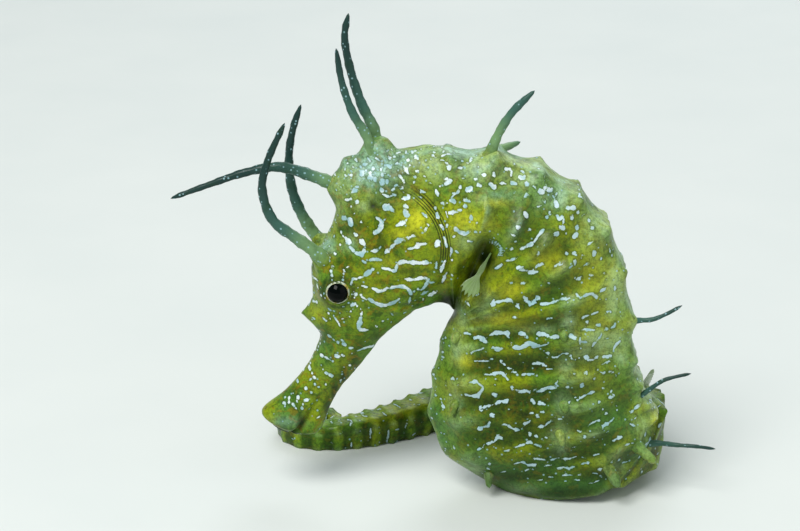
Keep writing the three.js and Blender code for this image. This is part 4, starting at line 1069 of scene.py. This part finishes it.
def crowded(mesh, near, gap, owner):
    """The edges that run from one mark to another with both marks within `near` mm."""
    ends = np.empty(len(mesh.edges) * 2, np.int32)
    mesh.edges.foreach_get("vertices", ends)
    a, b = ends.reshape(-1, 2).T
    loose = take(mesh, "fixed") < 0.5
    return (owner[a] != owner[b]) & (np.maximum(gap[a], gap[b]) < near) & loose[a] & loose[b]


def row_and_angle(mesh):
    """The row and the angle round the body that each vertex was laid at."""
    angle = np.arctan2(take(mesh, "turn_sin"), take(mesh, "turn_cos"))
    return take(mesh, "ringwise"), angle % FULL_TURN


# The skin is cut finer where two marks are this near each other, in mm: first roughly, then again
MARK_GAPS = (0.26, 0.14)


def shaped(mesh):
    """The finished places of the skin's vertices, with their rows and angles."""
    p = places_of(mesh)
    s, angle = row_and_angle(mesh)
    body = s > -0.5
    free = take(mesh, "fixed") < 0.001
    p[free] = body_surface(s[free], angle[free])
    p[body] = shape_body(p[body], s[body], angle[body])
    return p, s, angle, body


# Marks further than this from a vertex don't matter to it, in mm
MARK_REACH = 1.0
# How blunt the tips are: filaments end in a longer point than the fleshy spines
THREAD_BLUNT, FINGER_BLUNT = 4.0, 1.3


def lay_skin():
    """The skin's mesh as it is laid, with the marks for its flanks and for the rings of its tail."""
    skin = Skin()
    body_rows(skin)
    # a first shape, to find where the marks and the papillae fall on the body
    bare = skin.mesh("bare_body")
    p = shape_body(places_of(bare), *row_and_angle(bare))
    bvh = BVHTree.FromPolygons([Vector(v) for v in p], skin.faces)
    bpy.data.meshes.remove(bare)
    for points, root, tip in FILAMENTS:
        sweep_tube(skin, points, root, tip, 1.0, THREAD_BLUNT)
    for points, root, tip in FINGERS:
        sweep_tube(skin, points, root, tip, 0.0, FINGER_BLUNT)
    sprout_papillae(skin, bvh)
    mesh = skin.mesh("skin")
    flank_marks, ring_marks = plan_marks(bvh), tail_marks()
    hidden_dots(flank_marks, bvh)
    return mesh, flank_marks, ring_marks


def refine_between(mesh, marks):
    """Cuts the skin finer between marks that stand close, so that each keeps its own edge."""
    for near in MARK_GAPS:
        p, s, _, body = shaped(mesh)
        fore = body & (s < FLANK_MARKS_END)
        gap, owner = np.full(len(p), MARK_REACH), np.full(len(p), -1)
        gap[fore], owner[fore] = marks.nearest(on_left(p[fore]), MARK_REACH)[2:]
        refine(mesh, crowded(mesh, near, gap, owner))


def nearest_marks(p, fore, aft, flank_marks, ring_marks):
    """For each vertex the nearest place on a mark, the mark's half width there and the gap to its
    edge, from which the finish draws it sharply."""
    place, width, gap = p + 3.0, np.zeros(len(p)), np.full(len(p), MARK_REACH)
    at, wide, d, _ = flank_marks.nearest(on_left(p[fore]), MARK_REACH)
    at[:, 1] *= np.where(p[fore][:, 1] > 0, -1.0, 1.0)
    place[fore], width[fore], gap[fore] = at, wide, d
    at, wide, d, _ = ring_marks.nearest(p[aft], MARK_REACH)
    pick = d < gap[aft]
    closer = np.nonzero(aft)[0][pick]
    place[closer], width[closer], gap[closer] = at[pick], wide[pick], d[pick]
    return place, width, gap


def skin_tints(p, s, around, finger, body, fore):
    """How strongly each vertex takes each of the skin's tints."""
    uv = plan(p)
    tables = {"yellow": YELLOW_PATCHES, "pale": PALE_AND_SHEEN_PATCHES, "dark": PAINTED_SHADE_PATCHES,
              "brown": BROWN_AND_SHADE_PATCHES, "cool": COOL_AND_SHADE_PATCHES}
    tint = {name: patches(uv, table) * (fore | ~body) for name, table in tables.items()}

    # pale: painted sheen along the rims of the back and the keel, the knobs where ridges cross rings,
    # the fleshy spines
    back_rim_sheen = (1 - smoothstep(around, 0.05, 0.2)) * smoothstep(s, 11, 15) * body
    keel_rim_sheen = smoothstep(around, 0.9, 0.99) * smoothstep(s, 19, 21) * body
    pale = np.maximum(tint["pale"], np.maximum(0.8 * back_rim_sheen, 0.4 * keel_rim_sheen) * (s < 27))
    phase, column = np.abs(s - np.round(s)), around * KEEL_COLUMN
    for k, _, _ in RIDGES[:3]:
        knob = bump(column - k, 0.4) * bump(phase, 0.15) * (s > 15) * body
        pale = np.maximum(pale, 0.5 * knob)
    tint["pale"] = np.where(finger, 0.3, pale)

    # dark: painted shade inside the mouth, and a darker rim round the eye
    dark = np.maximum(tint["dark"], 0.9 * (s < 0.01) * (s > -0.5))
    eye_gap = distance(p[:, 0], p[:, 2], (EYE_CENTRE[0], EYE_CENTRE[2]))
    tint["dark"] = np.maximum(dark, 0.6 * bump(eye_gap - 1.95, 0.32) * fore * (s < 12))
    return tint


def gill_edge(p, s, fore):
    """Distance from the centre of the gill cover's rear edge, and how far its fine lines show."""
    radius = distance(p[:, 0], p[:, 2], GILL_CENTRE)
    shown = smoothstep((p[:, 0] - GILL_CENTRE[0]) / np.maximum(radius, 1e-6), 0.3, 0.7)
    shown = shown * smoothstep(p[:, 2], 32.5, 36.0)
    return radius, shown * smoothstep(np.abs(p[:, 1]), 2, 3) * fore * (s < 18)


def make_skin():
    """The one skin: body, filaments, spines and papillae, with its marks and tints as attributes."""
    mesh, flank_marks, ring_marks = lay_skin()
    refine_between(mesh, flank_marks)
    p, s, angle, body = shaped(mesh)
    fore, aft = body & (s < FLANK_MARKS_END), body & (s > RING_MARKS_START)
    place, width, gap = nearest_marks(p, fore, aft, flank_marks, ring_marks)
    around = np.minimum(angle, FULL_TURN - angle) / math.pi  # 0 along the back, 1 along the keel
    finger = ~body & (take(mesh, "filament") < 0.5)
    layers = skin_tints(p, s, around, finger, body, fore)
    layers["around"] = around
    layers["mark_place"], layers["mark_width"], layers["mark_gap"] = (place + SHIFT) * MM, width, gap
    layers["gill_radius"], layers["gill_lines"] = gill_edge(p, s, fore)

    mesh.vertices.foreach_set("co", ((p + SHIFT) * MM).astype(np.float32).ravel())
    for name in ("turn_cos", "turn_sin", "fixed"):
        mesh.attributes.remove(mesh.attributes[name])
    for name, values in layers.items():
        put(mesh, name, values)
    mesh.update()
    mesh.polygons.foreach_set("use_smooth", np.ones(len(mesh.polygons), bool))
    piece = bpy.data.objects.new("seahorse_skin", mesh)
    bpy.context.collection.objects.link(piece)
    return piece


# ---------------------------------------------------------------- finishes

class Finish:
    """A node material, built node by node."""

    def __init__(self, name):
        self.material = bpy.data.materials.new(name)
        self.material.use_nodes = True
        self.tree = self.material.node_tree
        self.tree.nodes.clear()
        self.output = self.tree.nodes.new("ShaderNodeOutputMaterial")
        self.shader = self.tree.nodes.new("ShaderNodeBsdfPrincipled")
        self.tree.links.new(self.shader.outputs["BSDF"], self.output.inputs["Surface"])

    def feed(self, value, socket):
        """Links a node's output to a socket, or sets the socket to a plain value."""
        if isinstance(value, bpy.types.NodeSocket):
            self.tree.links.new(value, socket)
        else:
            socket.default_value = value

    def attribute(self, name, output="Fac"):
        node = self.tree.nodes.new("ShaderNodeAttribute")
        node.attribute_name = name
        return node.outputs[output]

    def vector(self, kind, a, b):
        node = self.tree.nodes.new("ShaderNodeVectorMath")
        node.operation = kind
        self.feed(a, node.inputs[0])
        self.feed(b, node.inputs[1])
        return node.outputs["Value"]

    def place(self):
        return self.tree.nodes.new("ShaderNodeTexCoord").outputs["Object"]

    def noise(self, scale, detail, rough, warp=0.0):
        node = self.tree.nodes.new("ShaderNodeTexNoise")
        self.tree.links.new(self.place(), node.inputs["Vector"])
        node.inputs["Scale"].default_value = scale
        node.inputs["Detail"].default_value = detail
        node.inputs["Roughness"].default_value = rough
        node.inputs["Distortion"].default_value = warp
        return node.outputs["Fac"]

    def cells(self, scale):
        node = self.tree.nodes.new("ShaderNodeTexVoronoi")
        self.tree.links.new(self.place(), node.inputs["Vector"])
        node.inputs["Scale"].default_value = scale
        return node.outputs["Distance"]

    def math(self, kind, a, b):
        node = self.tree.nodes.new("ShaderNodeMath")
        node.operation = kind
        self.feed(a, node.inputs[0])
        self.feed(b, node.inputs[1])
        return node.outputs["Value"]

    def times(self, value, *others):
        """The product of several values."""
        for other in others:
            value = self.math("MULTIPLY", value, other)
        return value

    def span(self, value, low, high, to_low=0.0, to_high=1.0):
        """Eases from to_low to to_high as the value goes from low to high."""
        node = self.tree.nodes.new("ShaderNodeMapRange")
        node.interpolation_type = "SMOOTHSTEP"
        for name, v in (("Value", value), ("From Min", low), ("From Max", high),
                        ("To Min", to_low), ("To Max", to_high)):
            self.feed(v, node.inputs[name])
        return node.outputs["Result"]

    def mix(self, amount, a, b, kind="MIX"):
        node = self.tree.nodes.new("ShaderNodeMix")
        node.data_type = "RGBA"
        node.blend_type = kind
        self.feed(amount, node.inputs[0])
        self.feed(a, node.inputs[6])
        self.feed(b, node.inputs[7])
        return node.outputs[2]

    def bump(self, height, strength, distance):
        node = self.tree.nodes.new("ShaderNodeBump")
        node.inputs["Strength"].default_value = strength
        node.inputs["Distance"].default_value = distance
        self.tree.links.new(height, node.inputs["Height"])
        return node.outputs["Normal"]

    def set(self, **inputs):
        for name, value in inputs.items():
            self.feed(value, self.shader.inputs[name.replace("_", " ")])
        return self.material


def shade(r, g, b):
    """A colour from 0-255 screen values to the renderer's linear ones."""
    def linear(v):
        v /= 255
        return v / 12.92 if v <= 0.04045 else ((v + 0.055) / 1.055) ** 2.4
    return (linear(r), linear(g), linear(b), 1.0)


OLIVE = shade(132, 150, 10)
DEEP_OLIVE = shade(26, 54, 2)
BROWN_OLIVE = shade(38, 56, 0)
MOSS = shade(96, 136, 30)
YELLOW = shade(204, 208, 44)
RUST = shade(132, 112, 10)
DEEP_MOSS = shade(56, 100, 22)
PALE_GREEN = shade(174, 206, 146)
SEA_GREY = shade(168, 208, 194)
SEA_GREEN = shade(66, 122, 56)
# Dark green for the painted shade and for the gill lines
SHADE_AND_STRIPE_DARK = shade(16, 28, 6)
WHITE_MARK = shade(226, 238, 244)
BLUE_MARK = shade(150, 188, 196)
ROOT_GREY = shade(112, 146, 98)
TEAL = shade(60, 98, 86)
BLACK_TEAL = shade(26, 50, 48)


class SkinFinish(Finish):
    """Wet olive skin. Noise scales count repeats in a metre, and rows run from snout to tail."""

    def __init__(self):
        super().__init__("wet_spotted_skin")
        self.row, self.around = self.attribute("ringwise"), self.attribute("around")
        self.pale, self.dark = self.attribute("pale"), self.attribute("dark")
        self.thread = self.attribute("filament")
        self.on_body = self.span(self.row, -0.6, -0.4)
        self.broad = self.noise(160, 3, 0.55)
        self.middle = self.noise(520, 4, 0.6)
        self.fine = self.noise(2400, 3, 0.6)
        self.blotch = self.noise(330, 4, 0.65, warp=0.8)

    def ground(self):
        """Olive and moss with dark blotches, and darker bands between the rings of the trunk,
        strongest on the middle of the flank."""
        colour = self.mix(self.span(self.broad, 0.4, 0.62), OLIVE, MOSS)
        colour = self.mix(self.span(self.blotch, 0.48, 0.66, 0, 0.65), colour, DEEP_OLIVE)
        phase = self.math("PINGPONG", self.row, 0.5)
        flank = self.times(self.span(self.around, 0.16, 0.34), self.span(self.around, 0.86, 0.7))
        band = self.times(self.span(phase, 0.08, 0.36), flank, self.span(self.row, 16, 18.5, 0.1, 0.86),
                          self.span(self.middle, 0.3, 0.6, 0.75, 1.0))
        return self.mix(band, colour, DEEP_OLIVE)

    def mottled(self, colour):
        """Cool and brown patches, which are partly painted shade, then rusty and mossy mottling, the
        rust strongest on the head.
        """
        # cool: sea-green skin, and painted shade in teal on the underside, the belly edge and the snout
        # tip
        cool = self.times(self.attribute("cool"), self.span(self.broad, 0.3, 0.6, 0.6, 0.95))
        colour = self.mix(cool, colour, SEA_GREEN)
        # brown: brown skin, and painted shade darkening the lower trunk and the underside
        brown = self.times(self.attribute("brown"), self.span(self.blotch, 0.3, 0.5, 0.7, 1.0))
        colour = self.mix(brown, colour, BROWN_OLIVE)
        rust = self.times(self.span(self.noise(900, 2, 0.6, warp=0.6), 0.53, 0.66, 0.0, 0.6),
                          self.span(self.row, 16.0, 12.0, 0.4, 1.0))
        colour = self.mix(rust, colour, RUST)
        moss = self.span(self.noise(1400, 2, 0.6, warp=0.4), 0.54, 0.68, 0.0, 0.55)
        return self.mix(moss, colour, DEEP_MOSS)

    def lit(self, colour):
        """Yellow patches, pale skin and the painted sheen of the rims, greyer toward the head, the
        grain, and painted shade in the hollows.
        """
        yellow = self.times(self.attribute("yellow"), self.span(self.middle, 0.35, 0.62, 0.5, 1.0))
        colour = self.mix(yellow, colour, YELLOW)
        # pale: pale skin, and painted sheen along the rims of the back and the keel and on the upper
        # right flank
        pale = self.times(self.pale, self.span(self.blotch, 0.36, 0.6, 1.0, 0.35))
        greyer = self.times(self.span(self.broad, 0.42, 0.58),
                            self.span(self.row, 18.0, 14.0, 0.2, 1.0), self.on_body)
        colour = self.mix(pale, colour, self.mix(greyer, PALE_GREEN, SEA_GREY))
        grain = self.times(self.span(self.fine, 0.32, 0.72, 0.68, 1.2),
                           self.span(self.noise(5200, 2, 0.6), 0.3, 0.72, 0.78, 1.2))
        colour = self.mix(1.0, colour, self.mix(grain, (0, 0, 0, 1), (1, 1, 1, 1)), "MULTIPLY")
        # painted shade: the fin hollow, the throat crevice, the cheek pore, the mouth and the underside
        return self.mix(self.dark, colour, SHADE_AND_STRIPE_DARK)

    def gill_stripe(self):
        """Fine dark lines along the rear edge of the gill cover."""
        radius = self.attribute("gill_radius")
        stripe = self.math("PINGPONG", self.times(radius, GILL_LINES_PER_MM), 0.5)
        zone = self.times(self.span(radius, 7.0, 7.2), self.span(radius, 8.55, 8.3),
                          self.attribute("gill_lines"))
        return self.times(self.span(stripe, 0.2, 0.34), zone)

    def threaded(self, colour):
        """Filaments: grey-green roots that run to dark teal."""
        along = self.attribute("along")
        tone = self.mix(self.span(along, 2.4, 7.5), ROOT_GREY, TEAL)
        tone = self.mix(self.span(along, 5.0, 15.0, 0.0, 0.9), tone, BLACK_TEAL)
        tone = self.mix(self.span(self.middle, 0.5, 0.75, 0.0, 0.4), tone, DEEP_OLIVE)
        return self.mix(self.times(self.thread, self.span(along, -0.6, 2.2)), colour, tone)

    def mark_edge(self):
        """Distance in mm out from the edge of the nearest mark, made a little uneven."""
        off = self.vector("DISTANCE", self.place(), self.attribute("mark_place", "Vector"))
        off = self.math("SUBTRACT", self.times(off, 1 / MM), self.attribute("mark_width"))
        off = self.math("MAXIMUM", off, self.math("SUBTRACT", self.attribute("mark_gap"), 0.07))
        off = self.math("ADD", off, self.span(self.fine, 0.25, 0.75, -0.05, 0.05))
        return self.math("ADD", off, self.span(self.noise(6500, 2, 0.6), 0.25, 0.75, -0.03, 0.03))

    def specks(self):
        """Pale specks: scattered over the skin, thick on the crown, and dotted along the filaments."""
        body = self.times(self.span(self.cells(1000), 0.16, 0.1),
                          self.span(self.noise(700, 1, 0.5), 0.46, 0.52), self.span(self.dark, 0.5, 0.2))
        crown = self.times(self.span(self.cells(1650), 0.24, 0.17), self.span(self.pale, 0.4, 0.7),
                           self.span(self.row, 14.0, 12.5), self.on_body)
        thread = self.times(self.span(self.cells(1500), 0.22, 0.14),
                            self.span(self.noise(500, 1, 0.5), 0.34, 0.44), self.thread)
        return self.math("MAXIMUM", self.math("MAXIMUM", body, crown), thread)

    def marked(self, colour, off, white):
        """White and blue-grey marks with a soft darker surround, over the specks."""
        surround = self.times(self.span(off, 0.0, 0.05), self.span(off, 0.24, 0.06))
        colour = self.mix(self.times(surround, 0.4), colour, DEEP_OLIVE)
        colour = self.mix(self.times(self.specks(), 0.7), colour, BLUE_MARK)
        bluer = self.math("MAXIMUM", self.span(self.middle, 0.38, 0.62),
                          self.span(self.row, 15.0, 18.0, 0.0, 0.7))
        tint = self.mix(bluer, WHITE_MARK, BLUE_MARK)
        return self.mix(self.times(white, self.span(self.blotch, 0.35, 0.6, 1.0, 0.82)), colour, tint)

    def relief(self, white, stripe):
        """Leathery grain, with the marks slightly raised and the gill lines cut in."""
        height = self.math("ADD", self.times(self.cells(1500), 0.5), self.times(self.fine, 0.6))
        height = self.math("ADD", height, self.times(white, 0.5))
        height = self.math("ADD", height, self.times(self.middle, 0.8))
        return self.bump(self.math("SUBTRACT", height, self.times(stripe, 1.2)), 0.35, 0.0001)


def skin_finish():
    """Bands, patches with painted shade and sheen among them, and grain, then the gill lines and the
    filaments' tones, then the pale marks.
    """
    f = SkinFinish()
    stripe, off = f.gill_stripe(), f.mark_edge()
    white = f.span(off, 0.03, -0.035)
    colour = f.lit(f.mottled(f.ground()))
    colour = f.mix(f.times(stripe, 0.85), colour, SHADE_AND_STRIPE_DARK)
    colour = f.marked(f.threaded(colour), off, white)
    return f.set(Base_Color=colour, Roughness=f.span(f.middle, 0.3, 0.7, 0.32, 0.5),
                 Normal=f.relief(white, stripe), Coat_Weight=0.1, Coat_Roughness=0.14,
                 Subsurface_Weight=0.06, Subsurface_Scale=0.0006, Subsurface_Radius=(0.9, 1.0, 0.4),
                 Specular_IOR_Level=0.14)


def eye_finish():
    """Near-black pupil in a thin silvery ring with gold and green flecks."""
    f = Finish("glossy_eye")
    out = f.attribute("from_axis")
    noise = f.noise(2600, 3, 0.6)
    ring = f.mix(f.span(f.noise(700, 2, 0.5), 0.5, 0.62), shade(190, 200, 180), shade(176, 158, 76))
    ring = f.mix(f.span(noise, 0.5, 0.64), ring, shade(70, 90, 50))
    ring = f.mix(f.span(out, 1.46, 1.52), ring, shade(60, 72, 20))
    wavy = f.math("ADD", out, f.span(noise, 0.2, 0.8, -0.03, 0.03))
    colour = f.mix(f.span(wavy, 1.27, 1.3), shade(1, 4, 3), ring)
    normal = f.bump(f.times(noise, f.span(out, 1.2, 1.4)), 0.3, 0.00004)
    return f.set(Base_Color=colour, Roughness=f.span(out, 1.2, 1.4, 0.08, 0.3), Normal=normal,
                 Coat_Weight=0.07, Coat_Roughness=0.03, Specular_IOR_Level=0.04)


def fin_finish():
    """Pale membrane, a little clearer at its root, with lighter rays."""
    f = Finish("clear_fin_skin")
    ray, reach = f.attribute("ray"), f.attribute("reach")
    noise = f.noise(900, 3, 0.5)
    colour = f.mix(f.span(reach, 0.3, 0.9), shade(84, 108, 56), shade(118, 142, 90))
    colour = f.mix(f.span(ray, 0.2, 0.9, 0.0, 0.3), colour, shade(134, 160, 108))
    colour = f.mix(f.span(noise, 0.5, 0.7, 0, 0.4), colour, MOSS)
    normal = f.bump(f.math("ADD", f.times(ray, 0.15), noise), 0.08, 0.00004)
    alpha = f.math("ADD", f.span(reach, 0.3, 0.9, 0.84, 0.9), f.span(ray, 0.6, 0.95, 0.0, 0.05))
    return f.set(Base_Color=colour, Roughness=f.span(noise, 0.3, 0.7, 0.25, 0.4), Normal=normal,
                 Alpha=alpha, Coat_Weight=0.2, Coat_Roughness=0.15, Specular_IOR_Level=0.35)


# ---------------------------------------------------------------- pieces

def finish_piece(piece, material, slot, *nodes):
    """Gives a piece its material, hangs it from the root, and hides the CAD nodes it stands for."""
    piece.data.materials.clear()
    piece.data.materials.append(material)
    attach(piece, "root")
    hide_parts(*nodes)


def deselect():
    bpy.ops.object.select_all(action="DESELECT")


def put_vertices(mesh, places):
    for vertex, place in zip(mesh.vertices, places):
        vertex.co = place


def face_outward():
    """Turns the active piece's faces outward, and smooths it."""
    bpy.ops.object.mode_set(mode="EDIT")
    bpy.ops.mesh.select_all(action="SELECT")
    bpy.ops.mesh.normals_make_consistent(inside=False)
    bpy.ops.object.mode_set(mode="OBJECT")
    bpy.ops.object.shade_smooth()


CORNEA_RADIUS, CORNEA_RISE = 1.3, 0.22


def make_eye(name, side):
    """A ball with a raised cornea, and each point's distance from the eye's axis as an attribute."""
    deselect()
    centre = (np.array([EYE_CENTRE[0], side * EYE_CENTRE[1], EYE_CENTRE[2]]) + SHIFT) * MM
    bpy.ops.mesh.primitive_uv_sphere_add(segments=72, ring_count=48, radius=EYE_RADIUS * MM)
    piece = bpy.context.object
    piece.name = name
    v = np.array([w.co for w in piece.data.vertices]) / MM
    v = np.stack([v[:, 0], side * v[:, 2], v[:, 1] * side], 1)
    out = np.hypot(v[:, 0], v[:, 2])
    ahead = v[:, 1] * side > 0
    cornea = CORNEA_RISE * np.clip(1 - (out / CORNEA_RADIUS) ** 2, 0, 1) * ahead
    v[:, 1] += side * cornea
    put_vertices(piece.data, v * MM + centre)
    put(piece.data, "from_axis", np.where(ahead, out, EYE_RADIUS))
    face_outward()
    return piece


FIN_WALL, FIN_ROWS = 0.05, 22  # thickness in mm, and rows of faces from root to edge
FIN_HIDDEN = 0.5               # how far a fin starts under the skin

# Fins: node, root, the way it points, the way it faces, length in mm, spread as an angle, width at
# the root in mm, number of rays, and the width of the middle as a share of a full fan's
FINS = [
    ("pectoral_fin_left", (10.9, -4.7, 34.9), (-0.5, -0.34, -0.8), (-0.2, -1, -0.1),
     6.2, 0.4, 0.7, 5, 0.3),
    ("pectoral_fin_right", (10.9, 4.7, 34.9), (-0.5, 0.34, -0.8), (-0.2, 1, -0.1),
     6.2, 0.4, 0.7, 5, 0.3),
    ("dorsal_fin", (30.4, 1.6, 13.4), (0.55, 0.78, 0.3), (0.6, -0.35, -0.2), 4.6, 1.9, 3.2, 18, 1.0),
    ("anal_fin", (19, 1.2, 2.4), (0.35, 0.93, -0.08), (0, 0.1, 1), 3.4, 1.2, 1.6, 4, 1.0),
]


def make_fin(name, root, along, facing, reach, spread, root_width, rays, waist):
    """A thin fan of skin on fine rays, slightly pleated and cupped, with a soft notched edge."""
    deselect()
    bpy.ops.mesh.primitive_grid_add(x_subdivisions=rays * 4, y_subdivisions=FIN_ROWS, size=1)
    piece = bpy.context.object
    piece.name = name
    v = np.array([w.co for w in piece.data.vertices])
    u, t = v[:, 0] + 0.5, v[:, 1] + 0.5
    angle = spread * (u - 0.5)
    ray = 0.5 + 0.5 * np.cos(FULL_TURN * (u * rays))
    notch = 1 - 0.1 * (1 - ray) * smoothstep(t, 0.7, 1.0)
    length = reach * t * notch * (1 - 0.1 * (2 * (u - 0.5)) ** 2)
    hold = 1 - smoothstep(t, 0.0, 0.45)
    px = length * np.cos(angle)
    py = length * np.sin(angle) * (1 - hold) + (u - 0.5) * root_width * hold
    py = py + (u - 0.5) * root_width * 0.3 * (1 - hold)
    py = py * (waist + (1 - waist) * (smoothstep(t, 0.55, 0.85) + 0.45 * bump(t - 0.36, 0.17)))
    pz = 0.02 * (ray - 0.5) * smoothstep(t, 0.05, 0.4) + 0.5 * (t ** 2) * np.sin(angle * 1.4)
    x = unit(np.array([along], float))[0]
    z = np.array(facing, float)
    z = unit((z - x * (z @ x))[None])[0]
    y = np.cross(z, x)
    start = np.array(root) - x * FIN_HIDDEN
    place = start + np.outer(px, x) + np.outer(py, y) + np.outer(pz, z)
    put_vertices(piece.data, (place + SHIFT) * MM)
    put(piece.data, "ray", ray ** 2)
    put(piece.data, "reach", t)
    wall = piece.modifiers.new("thickness", "SOLIDIFY")
    wall.thickness = FIN_WALL * MM
    wall.offset = 0
    bpy.ops.object.modifier_apply(modifier=wall.name)
    face_outward()
    return piece


NOT_FLESH = ("eye_", "pectoral", "dorsal", "anal")
FLESH = [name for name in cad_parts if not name.startswith(NOT_FLESH)]
skin = make_skin()
finish_piece(skin, skin_finish(), "skin", *FLESH)

eye = eye_finish()
for name, side in (("eye_left", -1), ("eye_right", 1)):
    finish_piece(make_eye("glossy_" + name, side), eye, "eye", name)

fin = fin_finish()
for spec in FINS:
    finish_piece(make_fin("rayed_" + spec[0], *spec[1:]), fin, "fin_membrane", spec[0])


# ---------------------------------------------------------------- floor, lights, camera

def make_floor():
    deselect()
    bpy.ops.mesh.primitive_plane_add(size=3.0, location=(0, 0, 0))
    floor = bpy.context.object
    floor.name = "floor"
    f = Finish("pale_floor")
    tone = f.mix(f.noise(30, 3, 0.5), shade(206, 212, 210), shade(216, 220, 217))
    floor.data.materials.append(f.set(Base_Color=tone, Roughness=0.8))


def make_light(name, place, target, size, power, colour=(1, 1, 1)):
    lamp = bpy.data.lights.new(name, "AREA")
    lamp.size = size
    lamp.energy = power
    lamp.color = colour
    light = bpy.data.objects.new(name, lamp)
    light.location = place
    light.rotation_euler = (Vector(target) - Vector(place)).to_track_quat("-Z", "Y").to_euler()
    bpy.context.collection.objects.link(light)


make_floor()
make_light("key_light", (-0.25, -0.38, 0.62), (0, 0, 0.03), 0.36, 5.2, (1, 0.99, 0.96))
make_light("fill_light", (0.5, -0.35, 0.3), (0, 0, 0.03), 0.6, 0.8, (0.94, 0.98, 1))
make_light("rim_light", (0.15, 0.5, 0.45), (0, 0, 0.04), 0.5, 1.8, (0.94, 0.98, 1))
world = bpy.data.worlds.new("soft_surround")
world.use_nodes = True
world.node_tree.nodes["Background"].inputs["Color"].default_value = (0.86, 0.93, 0.95, 1)
world.node_tree.nodes["Background"].inputs["Strength"].default_value = 0.4
bpy.context.scene.world = world

SENSOR = 36  # width in mm

camera_data = bpy.data.cameras.new("camera")
camera_data.sensor_width = SENSOR
camera_data.lens = PLAN_SCALE * SENSOR / VIEW_SIZE[0]
camera_data.clip_start = 0.01
camera = bpy.data.objects.new("camera", camera_data)
camera.location = (PLAN_EYE + SHIFT) * MM
aim = (PLAN_TARGET + SHIFT) * MM
camera.rotation_euler = (Vector(aim) - camera.location).to_track_quat("-Z", "Y").to_euler()
bpy.context.collection.objects.link(camera)
bpy.context.scene.camera = camera
bpy.context.scene.view_settings.view_transform = "Standard"
